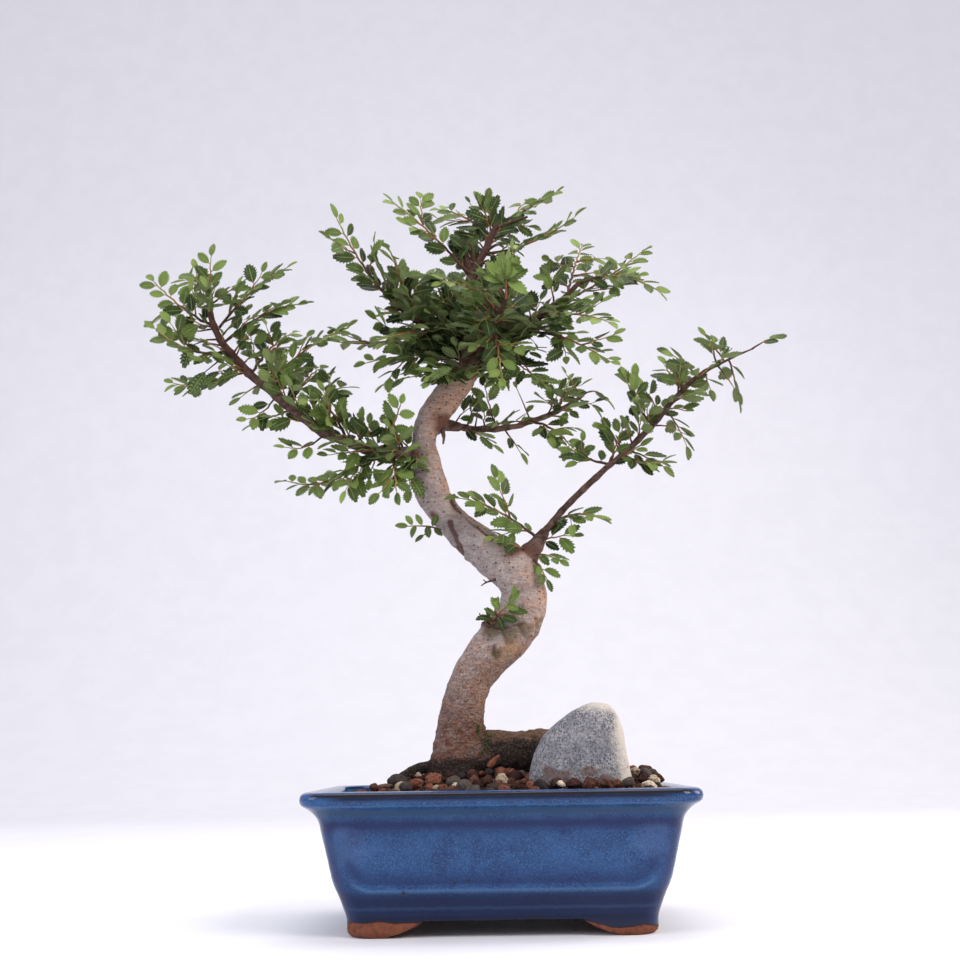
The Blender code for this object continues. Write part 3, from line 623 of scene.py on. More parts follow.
@dataclass(frozen=True)
class Bark:
    """Pinkish grey bark with dark pores, cracks and a soil-stained foot, with painted warm light on the side
    facing +X, painted shade on the side facing -X and painted shade and highlights on its fine relief.
    """

    ash: Colour = (0.350, 0.305, 0.290)
    rose: Colour = (0.360, 0.245, 0.200)
    smoke: Colour = (0.205, 0.180, 0.180)
    # colour of the painted shade on the side facing -X
    shaded_cool: Colour = (0.185, 0.172, 0.185)
    rust: Colour = (0.125, 0.050, 0.034)
    amber: Colour = (0.440, 0.232, 0.125)
    pore: Colour = (0.060, 0.022, 0.018)
    stain: Colour = (0.008, 0.006, 0.006)
    olive: Colour = (0.070, 0.052, 0.026)
    foot: Colour = (0.152, 0.074, 0.049)
    tan: Colour = (0.450, 0.275, 0.140)
    lichen: Colour = (0.082, 0.066, 0.032)
    wound: Colour = (0.068, 0.019, 0.015)
    mud: Colour = (0.060, 0.036, 0.026)
    limb_dark: Colour = (0.040, 0.018, 0.013)
    limb_pale: Colour = (0.138, 0.082, 0.062)
    limb_red: Colour = (0.062, 0.024, 0.017)
    crack_shade: Colour = (0.56, 0.53, 0.51)
    ridge_highlight: Colour = (1.34, 1.32, 1.30)

    def material(self) -> Finish:
        """Paint the bark.

        Returns:
            The material of the trunk and its limbs.
        """
        paint = Paint("elm_bark")
        z = paint.axes()[2]
        cloud = paint.noise(14, 4, 0.6)
        patch = paint.noise(5, 4, 0.65)
        fine = paint.noise(1.1, 3, 0.7)
        ring = paint.noise(1.7, 3, 0.6, (0.28, 0.28, 1))
        dash = paint.noise(1.5, 3, 0.7, (0.45, 0.45, 1))
        rosy = patch.step(0.38, 0.66) * (1.0 - z.ridge(228, 62) * 0.75)
        smoky = cloud.step(0.46, 0.70) * (0.8 - z.step(255, 300) * 0.45)
        # lit side: 1 where the bark faces +X, where painted warm light goes, 0 where it faces -X, where
        # painted shade goes
        sunny = paint.value("sunny")
        # warm patches: partly the bark's own rust and a warmer top, partly painted warm light on the side
        # facing +X
        warm = (sunny * 0.9 + patch * 0.9 + z.step(270, 300) * 0.4 - 0.6).step(0.1, 1)
        # painted shade: a cooler grey on the side facing -X, above 150 mm
        shade = (0.5 - sunny).frayed((patch, 0.7)).step(-0.05, 0.4) * z.step(150, 190)
        flaky = dash.step(0.58, 0.68) * z.step(185, 120)
        collar = (paint.value("collar") * 1.25 * (patch + 0.4)).step(0.2, 1)
        near, chance = paint.cells(2.5, (1, 1, 1.25))
        pores = near.frayed((fine, 0.3)).step(0.32, 0.15)
        pores = pores * (chance + warm * 0.45 * z.step(180, 215) + patch * 0.3).step(0.80, 0.86)
        pores = pores * z.step(98, 140)
        twiggy = paint.mix(patch.step(0.35, 0.7), self.limb_dark, self.limb_pale)
        twiggy = paint.mix(z.step(305, 325) * 0.75, twiggy, self.limb_red)
        scar = (paint.value("scar") * 1.15).frayed((fine, 1.3), (patch, 0.8)).step(0.35, 1.05)
        lichen = (paint.value("lichen") * 1.2).frayed((fine, 1.9), (patch, 1.7)).step(0.35, 0.85)
        old = paint.value("old")
        level = z.frayed((patch, 15), (fine, 3))
        damp = level.step(91.5, 86).most(old * level.step(101, 96))
        colour = paint.coats(
            self.ash,
            (rosy, self.rose),
            (smoky, self.smoke),
            # painted warm light and rust on the side facing +X, then painted shade on the side facing -X
            (warm * 0.55, self.amber),
            (shade * 0.38, self.shaded_cool),
            (z.step(172, 96) * (ring * 0.6 + 0.35), self.foot),
            (z.step(128, 98) * (patch.step(0.4, 0.62) * 0.75 + 0.12), self.rust),
            (ring.step(0.52, 0.40) * 0.3, self.rust),
            (flaky * 0.55, self.wound),
            (collar, self.rust),
            (pores * 0.85, self.pore),
            (paint.value("thin"), twiggy),
            (paint.value("bare") * 0.85, self.tan),
            (scar * 0.8, self.wound),
            (lichen * (fine * 0.9 + 0.25), self.lichen),
            (old * 0.85, paint.mix(fine, self.olive, self.foot)),
            (damp * 0.96, paint.mix(fine.step(0.45, 0.7), self.stain, self.mud)),
        )
        # painted shade in the cracks and painted highlight on the ridges of the fine relief, strongest low on
        # the trunk
        lit = paint.mix(fine.step(0.28, 0.72), self.crack_shade, self.ridge_highlight)
        colour = paint.mix(z.step(215, 135) * 0.5 + 0.5, colour, lit, "MULTIPLY")
        crack = ring.ridge(0.5, 0.035) * z.step(168, 110)
        paint.bump((fine, 0.35), (patch, 0.9), (ring, 0.5), (pores, -0.35), (crack, -0.45), (flaky, -0.3))
        return paint.dress(base_color=colour, roughness=patch * 0.2 + 0.66, specular_ior_level=0.22)


@dataclass(frozen=True)
class Granite:
    """Salt and pepper stone with a cream crest, painted light on its right side and soil stains at its foot.
    """

    blue: Colour = (0.130, 0.131, 0.156)
    salt: Colour = (0.335, 0.322, 0.318)
    pepper: Colour = (0.050, 0.052, 0.066)
    cream: Colour = (0.66, 0.59, 0.51)
    stain: Colour = (0.090, 0.036, 0.019)
    quartz: Colour = (0.50, 0.49, 0.49)
    dust: Colour = (0.30, 0.255, 0.235)
    smears: Rows = ((25.8, 81, 3.4), (32.5, 78.5, 4), (46.5, 81, 3.6), (56, 77, 3.2))

    def material(self) -> Finish:
        """Paint the stone.

        Returns:
            The stone's material.
        """
        paint = Paint("grey_granite")
        x, _, z = paint.axes()
        fine = paint.noise(1, 4, 0.75)
        grit, chance = paint.cells(1.15)
        cloud = paint.noise(13, 4, 0.6)
        streak = paint.noise(7, 3, 0.6, (0.6, 1, 1.5))
        top = (z - 108.5) * 0.12 + (x - 50) * 0.02
        # painted light: the right side of the stone turns cream towards +X
        side = (x - 58.8) * 0.12 + (z - 92) * 0.008
        cream_and_lit_side = top.most(side).frayed((cloud, 1.5), (fine, 0.9)).step(0.05, 1)
        dirt = (z.step(92, 72) * 0.7).frayed((streak, 2), (fine, 0.8))
        dirt = dirt.step(0.45, 0.85) * z.step(92, 82)
        for spot, height, reach in self.smears:
            away = (x - spot) * (x - spot) * 0.5 + (z - height) * (z - height)
            smear = (1.0 - away * reach**-2).frayed((fine, 1.6), (streak, 1.4))
            dirt = dirt.most(smear.step(0.1, 0.7))
        colour = paint.coats(
            self.blue,
            (fine.step(0.40, 0.62), self.salt),
            (chance.step(0.56, 0.68) * grit.step(0.75, 0.35) * 0.88, self.pepper),
            (chance.step(0.24, 0.14) * grit.step(0.55, 0.25) * 0.45, self.quartz),
            (cloud.step(0.42, 0.62) * 0.5, paint.mix(fine, self.pepper, self.blue)),
            (streak.step(0.5, 0.75) * 0.3, self.dust),
            # cream crest on top, and painted light on the right side
            (cream_and_lit_side * 0.72, self.cream),
            (dirt * (fine * 0.9 + 0.2), self.stain),
        )
        paint.bump((fine, 0.26), (grit, 0.16), (cloud, 0.5))
        return paint.dress(base_color=colour, roughness=fine * 0.2 + 0.58, specular_ior_level=0.3)


class GrainKind(Enum):
    """What a granule of the soil is."""

    LAVA = "lava"
    CLAY = "clay"
    PUMICE = "pumice"
    CHIP = "chip"


@dataclass(frozen=True)
class Granule:
    """Finish of one kind of granule."""

    kind: GrainKind
    light: Colour
    dark: Colour
    hole: float
    rough: float

    def material(self) -> Finish:
        """Paint the granule.

        Returns:
            The material of this kind.
        """
        paint = Paint("soil_" + self.kind.value)
        tone = paint.value("tone")
        fine = paint.noise(1.1, 3, 0.7)
        blot = paint.noise(2.6, 3, 0.6)
        pit, _ = paint.cells(1.5)
        share = (tone * 0.75 + blot * 0.8 - 0.35).step(0.05, 0.85)
        # pits: sunk by the bump and painted darker, painted shade inside them
        holes = pit.step(0.34, 0.12) * self.hole
        colour = paint.coats(
            self.dark,
            (share, self.light),
            (fine.step(0.50, 0.38) * 0.45, tuple(0.45 * c for c in self.dark)),
            (holes * 0.8, tuple(0.22 * c for c in self.dark)),
        )
        paint.bump((fine, 0.5), (blot, 0.6), (holes, -0.7))
        rough = fine * 0.15 + self.rough
        return paint.dress(base_color=colour, roughness=rough, specular_ior_level=0.25)


@dataclass(frozen=True)
class LeafSkin:
    """Satin toothed leaf: darker with age, paler below, with light veins, and darker where its tone is low,
    which gives painted shade inside the crown.
    """

    mature: Colour = (0.116, 0.184, 0.032)
    dark: Colour = (0.007, 0.020, 0.005)
    young: Colour = (0.285, 0.385, 0.096)
    under: Colour = (0.190, 0.240, 0.090)
    vein: Colour = (0.300, 0.365, 0.150)
    veins: float = 8.0

    def material(self) -> Finish:
        """Paint the leaf.

        Returns:
            The leaves' material.
        """
        paint = Paint("elm_leaf")
        tone = paint.value("tone")
        age = paint.value("young")
        along = paint.value("along")
        side = paint.value("side")
        below = paint.value("under")
        cloud = paint.noise(4, 2)
        run = ((along - side * 0.30) * self.veins).rest()
        branch = run.ridge(0.5, 0.17) * side.step(1, 0.75)
        rib = side.step(0.11, 0.02)
        ribs = rib.most(branch * 0.34)
        colour = paint.coats(
            self.dark,
            # the tone varies at random, and is kept low on inner and core leaves as painted shade
            ((tone * 1.2 + cloud * 0.6 - 0.37).step(0, 0.85), self.mature),
            (age * (cloud * 0.4 + 0.5) * (tone * 0.8 + 0.6), self.young),
            (ribs * 0.62, self.vein),
            (below * 0.78, paint.mix(ribs * 0.5, self.under, self.vein)),
            (side.step(0.93, 1) * age * 0.5, self.vein),
        )
        paint.bump((run.ridge(0, 0.5).most(run.ridge(1, 0.5)), 0.10), (rib, -0.22), (branch, -0.10))
        rough = below * 0.25 + 0.36 + cloud * 0.14
        return paint.dress(base_color=colour, roughness=rough, specular_ior_level=0.17)


@dataclass(frozen=True)
class TwigSkin:
    """Thin shoots: red-brown where old, orange-tan and green at the tip."""

    old: Colour = (0.062, 0.028, 0.020)
    tan: Colour = (0.285, 0.128, 0.044)
    tip: Colour = (0.270, 0.290, 0.090)

    def material(self) -> Finish:
        """Paint the shoots.

        Returns:
            The shoots' material.
        """
        paint = Paint("elm_twig")
        share = paint.value("young")
        fine = paint.noise(1.2, 3, 0.65)
        wave = share.frayed((fine, 0.25))
        colour = paint.band(wave, [(0, self.old), (0.32, self.old), (0.62, self.tan), (1, self.tip)])
        colour = paint.mix(fine.step(0.55, 0.40) * 0.4, colour, self.old)
        paint.bump((fine, 0.2))
        return paint.dress(base_color=colour, roughness=fine * 0.15 + 0.55, specular_ior_level=0.2)


@dataclass(frozen=True)
class PlainSkin:
    """A finish with one main colour, broken up by fine noise."""

    name: str
    light: Colour
    dark: Colour
    size: float
    height: float
    rough: float

    def material(self) -> Finish:
        """Paint it.

        Returns:
            The material.
        """
        paint = Paint(self.name)
        fine = paint.noise(self.size, 3, 0.6)
        colour = paint.mix(fine.step(0.35, 0.65), self.dark, self.light)
        paint.bump((fine, self.height))
        return paint.dress(base_color=colour, roughness=fine * 0.12 + self.rough)


# Pot


@dataclass
class GlazedPot:
    """Flared rectangular pot with a rolled lip, sunk panels and arched feet."""

    outside: Rows = (
        (78.4, 0), (80.4, 2.4), (80.8, 8.5), (82.7, 14.7), (84.6, 20), (87, 25.7),
        (89.2, 33), (91.2, 42), (93, 51), (94.6, 58), (97.9, 62.7), (101.6, 65.4),
    )
    lip: Rows = (
        (102.6, 66.3), (103.1, 67.4), (103.3, 69), (102.9, 70.8), (101.9, 72), (100.2, 72.6),
        (97.2, 72.8), (94.8, 72.5), (93.4, 71.6), (92.6, 70.2), (91.7, 67.6),
    )
    inside: Rows = (
        (90.2, 63), (87.4, 56), (83.6, 42), (79.4, 27), (74, 18.5), (69, 16),
    )
    wall_steps: int = 6
    lip_steps: int = 3
    lip_rows: int = 18
    half_difference: float = 28.0
    corner_outside: float = 13.0
    corner_inside: float = 9.0
    corner_steps: int = 12
    long_steps: int = 104
    short_steps: int = 64
    panel: Numbers = (24.5, 52.0, 1.5, 17.0, 4.0)
    panel_sides: Numbers = (81.7, 53.7)
    foot_flat: float = 17.0
    foot_arch: Rows = ((0, 0), (8, 1.8), (15, 4.6), (22, 8.5))
    glaze_level: float = 8.3
    warp_top: float = 15.0
    drain_radius: float = 8.0
    drain_places: Numbers = (-38.0, 38.0)
    drain_sides: int = 40
    under_shares: Numbers = (0.96, 0.9, 0.8, 0.68, 0.55, 0.42, 0.3, 0.18, 0.07)
    sharp: float = 50.0
    pinholes: Rows = (
        (-50.3, 22.5, 0.9), (-17, 28.3, 0.6), (-24.5, 27.2, 0.5), (44, 23, 0.6),
    )

    def profile(self) -> Array:
        """Half length and height of each level, from the sole over the lip to the floor."""
        wall = smooth_path(self.outside, self.wall_steps)
        lip = smooth_path(self.lip, self.lip_steps)
        return np.vstack([wall, lip, np.array(self.inside)])

    def ring(self) -> Array:
        """Where each point of a level lies: corner signs and shares along sides and corners."""
        rows = []
        for turn, (sx, sy) in enumerate(((1, 1), (-1, 1), (-1, -1), (1, -1))):
            for step in range(self.corner_steps + 1):
                angle = math.pi / 2 * (turn + step / self.corner_steps)
                rows.append((sx, sy, math.cos(angle), math.sin(angle)))
            steps = self.long_steps if turn % 2 == 0 else self.short_steps
            after = ((-1, 1), (-1, -1), (1, -1), (1, 1))[turn]
            cos, sin = rows[-1][2:]
            for step in range(1, steps):
                t = step / steps
                rows.append((sx + (after[0] - sx) * t, sy + (after[1] - sy) * t, cos, sin))
        return np.array(rows)

    def rise(self, reach: Array, sole: float) -> Array:
        """Height of an arch's ceiling at a distance from its middle."""
        runs = [sole - self.foot_flat - run for run, _ in reversed(self.foot_arch)]
        return np.interp(np.abs(reach), runs, [height for _, height in reversed(self.foot_arch)])

    def underside(self, x: Array, y: Array) -> Array:
        """Height of the pot's bottom, which the two arches lift between the feet."""
        sole = self.outside[0][0]
        return np.maximum(self.rise(x, sole), self.rise(y, sole - self.half_difference))

    def level(self, half: float | Array, height: float | Array, radius: float) -> Array:
        """Points of one level."""
        sx, sy, cos, sin = self.ring().T
        wide = half - self.half_difference
        x, y = sx * (half - radius) + radius * cos, sy * (wide - radius) + radius * sin
        return np.stack([x, y, np.broadcast_to(height, x.shape)], -1)

    def on_long_side(self, points: Array) -> Array:
        """Which points lie on the front and the back, not on the ends."""
        return np.abs(points[:, 1]) - (np.abs(points[:, 0]) - self.half_difference) > 0

    def panel_depth(self, points: Array) -> tuple[Array, Array, Array]:
        """How far the sunk panels lie in, and the lines painted along their edges: a dark one, partly pooled
        glaze and partly painted shade, and a painted highlight.

        Args:
            points: points of the outside wall.

        Returns:
            The depth in millimetres, the share of the dark edge line, which is partly pooled glaze and partly
            painted shade, and that of the painted highlight line.
        """
        low, high, depth, round_low, round_top = self.panel
        long_side = self.on_long_side(points)
        across = np.abs(np.where(long_side, points[:, 0], points[:, 1]))
        half = np.where(long_side, self.panel_sides[0], self.panel_sides[1])
        middle = (low + high) / 2
        radius = np.where(points[:, 2] < middle, round_low, round_top)
        dx = across - (half - radius)
        dz = np.abs(points[:, 2] - middle) - ((high - low) / 2 - radius)
        outside = np.hypot(np.maximum(dx, 0), np.maximum(dz, 0)) + np.minimum(np.maximum(dx, dz), 0) - radius
        inward = ramp(-outside, -1.3, 1.5) * depth
        lower = ramp(points[:, 2], 44, 36)
        # dark line just inside the panel edge, stronger low down: pooled glaze and painted shade
        deep = bell(outside + 3.0, np.where(outside < -3.0, 5.0, 2.2)) * (0.25 + 0.75 * lower)
        # painted highlight: a thin pale line just outside the panel's lower edge, stronger low down
        light = bell(outside - 1.1, 1) * lower * (0.1 + 0.4 * ramp(-points[:, 2], -30, -25))
        return inward, deep, light

    def build(self) -> None:
        """Build and dress the pot."""
        profile = self.profile()
        wall_rows = len(self.outside) * self.wall_steps + 1
        rings, bottom = [], None
        for number, (half, height) in enumerate(profile):
            radius = self.corner_outside if number < wall_rows + self.lip_rows else self.corner_inside
            base = self.level(half, height, radius)
            if bottom is None:
                bottom = self.underside(base[:, 0], base[:, 1])
            if height < self.warp_top and number < wall_rows:
                lifted = bottom + height * (self.warp_top - bottom) / self.warp_top
                halves = np.interp(lifted, profile[:wall_rows, 1], profile[:wall_rows, 0])
                base = self.level(halves, lifted, radius)
            rings.append(base)
        wall = np.vstack(rings)
        columns = len(bottom)
        outer = np.arange(len(wall)) < wall_rows * columns
        inward, deep, light = self.panel_depth(wall)
        long_side = self.on_long_side(wall)
        push = np.where(outer, inward, 0.0)
        wall[:, 1] -= np.where(long_side, np.sign(wall[:, 1]) * push, 0.0)
        wall[:, 0] -= np.where(long_side, 0.0, np.sign(wall[:, 0]) * push)
        under = []
        for share in self.under_shares:
            ring = wall[:columns] * (share, share, 1.0)
            ring[:, 2] = self.underside(ring[:, 0], ring[:, 1])
            under.append(ring)
        points = np.vstack([*under[::-1], wall])
        faces = [skin(len(points) // columns, columns), *caps(len(points), columns)]
        pad = np.zeros(len(under) * columns)
        values = self.marks(points, np.concatenate([pad, np.where(outer, deep, 0.0)]))
        values["light_line"] = np.concatenate([pad, np.where(outer, light, 0.0)])
        shape = Shape()
        shape.add(points, faces, **values)
        pot = shape.make("pot_body", Glaze().material())
        self.drill(pot)
        pot.data.shade_smooth()
        pot.data.set_sharp_from_angle(angle=math.radians(self.sharp))
        settle(pot, "glazed_pot", "pot")

    def marks(self, points: Array, deep: Array) -> dict[str, Array]:
        """Numbers kept with the points that say where the glaze changes, and where painted shade, painted
        highlights and painted reflections go.

        Args:
            points: the pot's points.
            deep: share of the dark line round the panels, partly pooled glaze and partly painted shade.

        Returns:
            The named values.
        """
        x, y, z = points.T
        wave = grain(points, 9.0, 5) * 1.1 + grain(points, 3.0, 6) * 0.4
        level = self.glaze_level + wave - 3.8 * ramp(x, 40, 60)
        reach = np.abs(x)
        widest = np.maximum(reach, np.abs(y) + self.half_difference)
        pin = np.zeros(len(points))
        for spot_x, spot_z, size in self.pinholes:
            near = np.hypot(x - spot_x, z - spot_z) + 50.0 * (y > 0)
            pin = np.maximum(pin, ramp(-near, -size * 1.6, -size * 0.5))
        diagonal = np.abs(y) - reach + self.half_difference
        # where the painted reflection lies: towards the ends of the front and back, between about 28 and 60
        # mm up
        bloom = ramp(reach, 56, 78) * ramp(-reach, -90, -82)
        return {
            "recess_edge": deep,
            # painted shade down the rounded corners, partly the glaze breaking dark
            "corner": bell(diagonal, 7) * ramp(-z, -64, -54),
            "rim_edge": 1.2 * bell(z - 71, 1) * ramp(widest, 100.8, 101.8),
            "bloom": bloom * ramp(z, 28, 46) * ramp(-z, -60, -52),
            "pinhole": pin,
            "glaze_line": np.clip((z - level) / 1.6 + 0.5, 0.0, 1.0),
        }

    def drill(self, pot: Piece) -> None:
        """Cut the drain holes through the floor.

        Args:
            pot: the pot in the making.
        """
        cutters = bpy.data.collections.new("drain_cutters")
        bpy.context.scene.collection.children.link(cutters)
        for x in self.drain_places:
            cutter = Shape()
            centres = np.array([(x, 0.0, -2.0), (x, 0.0, 20.0)])
            cutter.add(*tube(centres, (self.drain_radius, self.drain_radius), self.drain_sides))
            cutters.objects.link(cutter.make("drain_cutter", None))
        cut = pot.modifiers.new("drain", "BOOLEAN")
        cut.operand_type, cut.collection, cut.operation = "COLLECTION", cutters, "DIFFERENCE"
        bake_modifiers(pot)
        for cutter in list(cutters.objects):
            bpy.data.objects.remove(cutter, do_unlink=True)
        bpy.data.collections.remove(cutters)


# Stone


@dataclass
class GreyStone:
    """Smooth granite cobble set upright in the soil."""

    levels: Rows = (
        (63, 24, 62, -40, -22), (67, 17.5, 69, -45.5, -16.5), (75, 15, 71.5, -47.5, -14.6),
        (84, 16.8, 70.4, -47, -14.6), (93, 20.2, 69, -45.5, -15.6), (101, 25, 68.2, -43.5, -17),
        (108, 33, 66, -41, -19.5), (113, 41, 63.4, -38, -22.5), (116, 47, 60.8, -35, -25.6),
        (117.3, 51, 57.5, -32.4, -28.4),
    )
    sides: int = 96
    steps: int = 9

    def build(self) -> Piece:
        """Build and dress the stone.

        Returns:
            The stone.
        """
        rows = smooth_path(self.levels, self.steps)
        angle = np.arange(self.sides) * math.tau / self.sides
        rings = []
        for height, left, right, front, back in rows:
            x = (left + right) / 2 + (right - left) / 2 * np.cos(angle)
            y = (front + back) / 2 + (back - front) / 2 * np.sin(angle)
            rings.append(np.stack([x, y, np.full(self.sides, height)], -1))
        points = np.vstack(rings)
        shape = Shape()
        shape.add(points, [skin(len(rows), self.sides), *caps(len(points), self.sides)])
        stone = shape.make("granite_stone", Granite().material())
        soften(stone, 8)
        points = coordinates(stone)
        lift = 0.55 * grain(points, 15.0, 11) + 0.22 * grain(points, 5.0, 12)
        lift += 0.12 * np.minimum(0.0, grain(points, 2.4, 13))
        set_coordinates(stone, points + point_normals(stone) * lift[:, None])
        stone.data.shade_smooth()
        return settle(stone, "stone", "stone")


# Wood

TRUNK = (
    (-27, 1, 52, 9.5), (-26, 0, 66, 15.5), (-25.2, 0, 78, 15.4), (-24, 0, 92, 13.9), (-22.2, 0, 107, 12.9),
    (-19.8, 0, 120, 12.6), (-14.5, 0, 134, 12.4), (-4.5, -1, 147, 13.1), (6.5, -2, 158, 14),
    (14.4, -2, 170, 14), (15.8, -1, 182, 13.4), (10.8, 0, 193, 13.2), (0.4, 2, 202.5, 12.2),
    (-11, 3, 213, 10.8), (-23, 3, 224, 9.7), (-33, 2, 235, 9.6), (-38.6, 1, 247, 10.4), (-40.5, 0, 258, 9.2),
    (-42, -1, 270, 7.2), (-41.6, -1, 280, 7.4), (-37.4, 0, 291, 8.6), (-30, 1, 301.5, 8.5),
    (-21.5, 1, 311, 8), (-14.5, 0, 320, 6.6),
)
OLD_TRUNK = (
    (-24, 0, 84, 11), (-8, 0, 89.5, 12.2), (10, 1, 90.6, 12.3), (28, 2, 90.6, 12.2), (44, 3.5, 89, 11.6),
    (57, 6, 84, 10.2), (66, 9, 76, 7.6), (71, 11, 66, 5), (72, 12, 57, 3),
)
ROOTS = (
    (
        (-30, -2, 84, 5.2), (-42, -4, 84, 3.8), (-52, -7, 80, 3.2), (-61, -10, 73, 2.6),
        (-67, -12, 64, 2),
    ),
    ((-27, 4, 62, 7), (-38, 16, 56, 4.4), (-52, 27, 50, 3), (-62, 33, 42, 2.2)),
    ((-24, -4, 60, 7), (-16, -18, 54, 4.4), (-6, -30, 47, 3.2), (4, -38, 40, 2.2)),
    ((-27, 1, 58, 7.5), (-31, -2, 44, 4.6), (-40, -6, 34, 3), (-48, -8, 28, 2.2)),
)
LIMBS = {
    "left_branch": (
        (-44, 0, 266, 5), (-56, -1, 268, 3.9), (-69, -2, 269, 3.5), (-83, -3, 273, 3.4),
        (-98, -4, 279, 3.3), (-112, -5, 287.5, 3.3), (-124, -6, 297.5, 3.3), (-136, -7, 308, 3.2),
        (-147, -8, 317, 3), (-156, -9, 326, 2.8), (-166, -10, 339, 2.5), (-171, -11, 352, 2),
        (-173, -12, 364, 1.5),
    ),
    "right_branch": (
        (14, 0, 198, 5.6), (23, -1, 209, 4.2), (30, -2, 219, 3), (41, -3, 231, 2.6), (56, -4, 246, 2.4),
        (68, -4, 257, 2.4), (84, -5, 270, 2.3), (98, -6, 284, 2.2), (111, -7, 299, 2.1), (127, -8, 313, 1.7),
        (144, -8, 322, 1), (158, -9, 328, 0.55),
    ),
    "back_branch": (
        (-38, 2, 285, 6), (-30, 8, 288, 3.6), (-20, 14, 288, 2.6), (-8, 20, 288, 2.2), (6, 26, 290, 2.1),
        (20, 33, 295, 2), (34, 40, 302, 1.9), (48, 46, 310, 1.6), (60, 50, 319, 1.3),
    ),
    "leader": (
        (-17, 0, 316, 6), (-15, 0, 330, 4.4), (-14.5, 1, 348, 3.6), (-14.5, 1, 366, 3.4),
        (-13, 0, 380, 3.4), (-8, 0, 391, 3), (-2, 0, 401, 2.5), (2, 1, 411, 2), (5, 2, 419, 1.6),
    ),
    "crown_limb": (
        (-18, 0, 315, 6), (-8, -1, 324, 4.8), (3, -3, 331, 3.9), (15, -5, 339, 3.3), (28, -6, 351, 2.8),
        (42, -7, 361, 2.4), (55, -8, 373, 1.8),
    ),
    "front_limb": (
        (-12, -2, 322, 4.6), (-8, -12, 328, 3), (-2, -24, 335, 2.5), (4, -36, 343, 2.1), (9, -46, 350, 1.6),
    ),
    "rear_limb": (
        (-14.5, 1, 336, 3.8), (-13, 12, 343, 2.7), (-8, 26, 351, 2.3), (-2, 40, 357, 2), (4, 52, 362, 1.5),
    ),
    "west_limb": (
        (-14.5, 1, 340, 3.8), (-24, 2, 345, 2.6), (-38, 0, 348, 2.3), (-52, -4, 356, 2),
        (-64, -8, 366, 1.5),
    ),
    "snag": ((-13, 0, 384, 2.6), (-15, 0, 394, 1.9), (-17.5, 1, 406, 1.5)),
    "dead_twig": ((4, 2, 415, 1.5), (14, -3, 417, 1), (24, -7, 419, 0.8)),
}


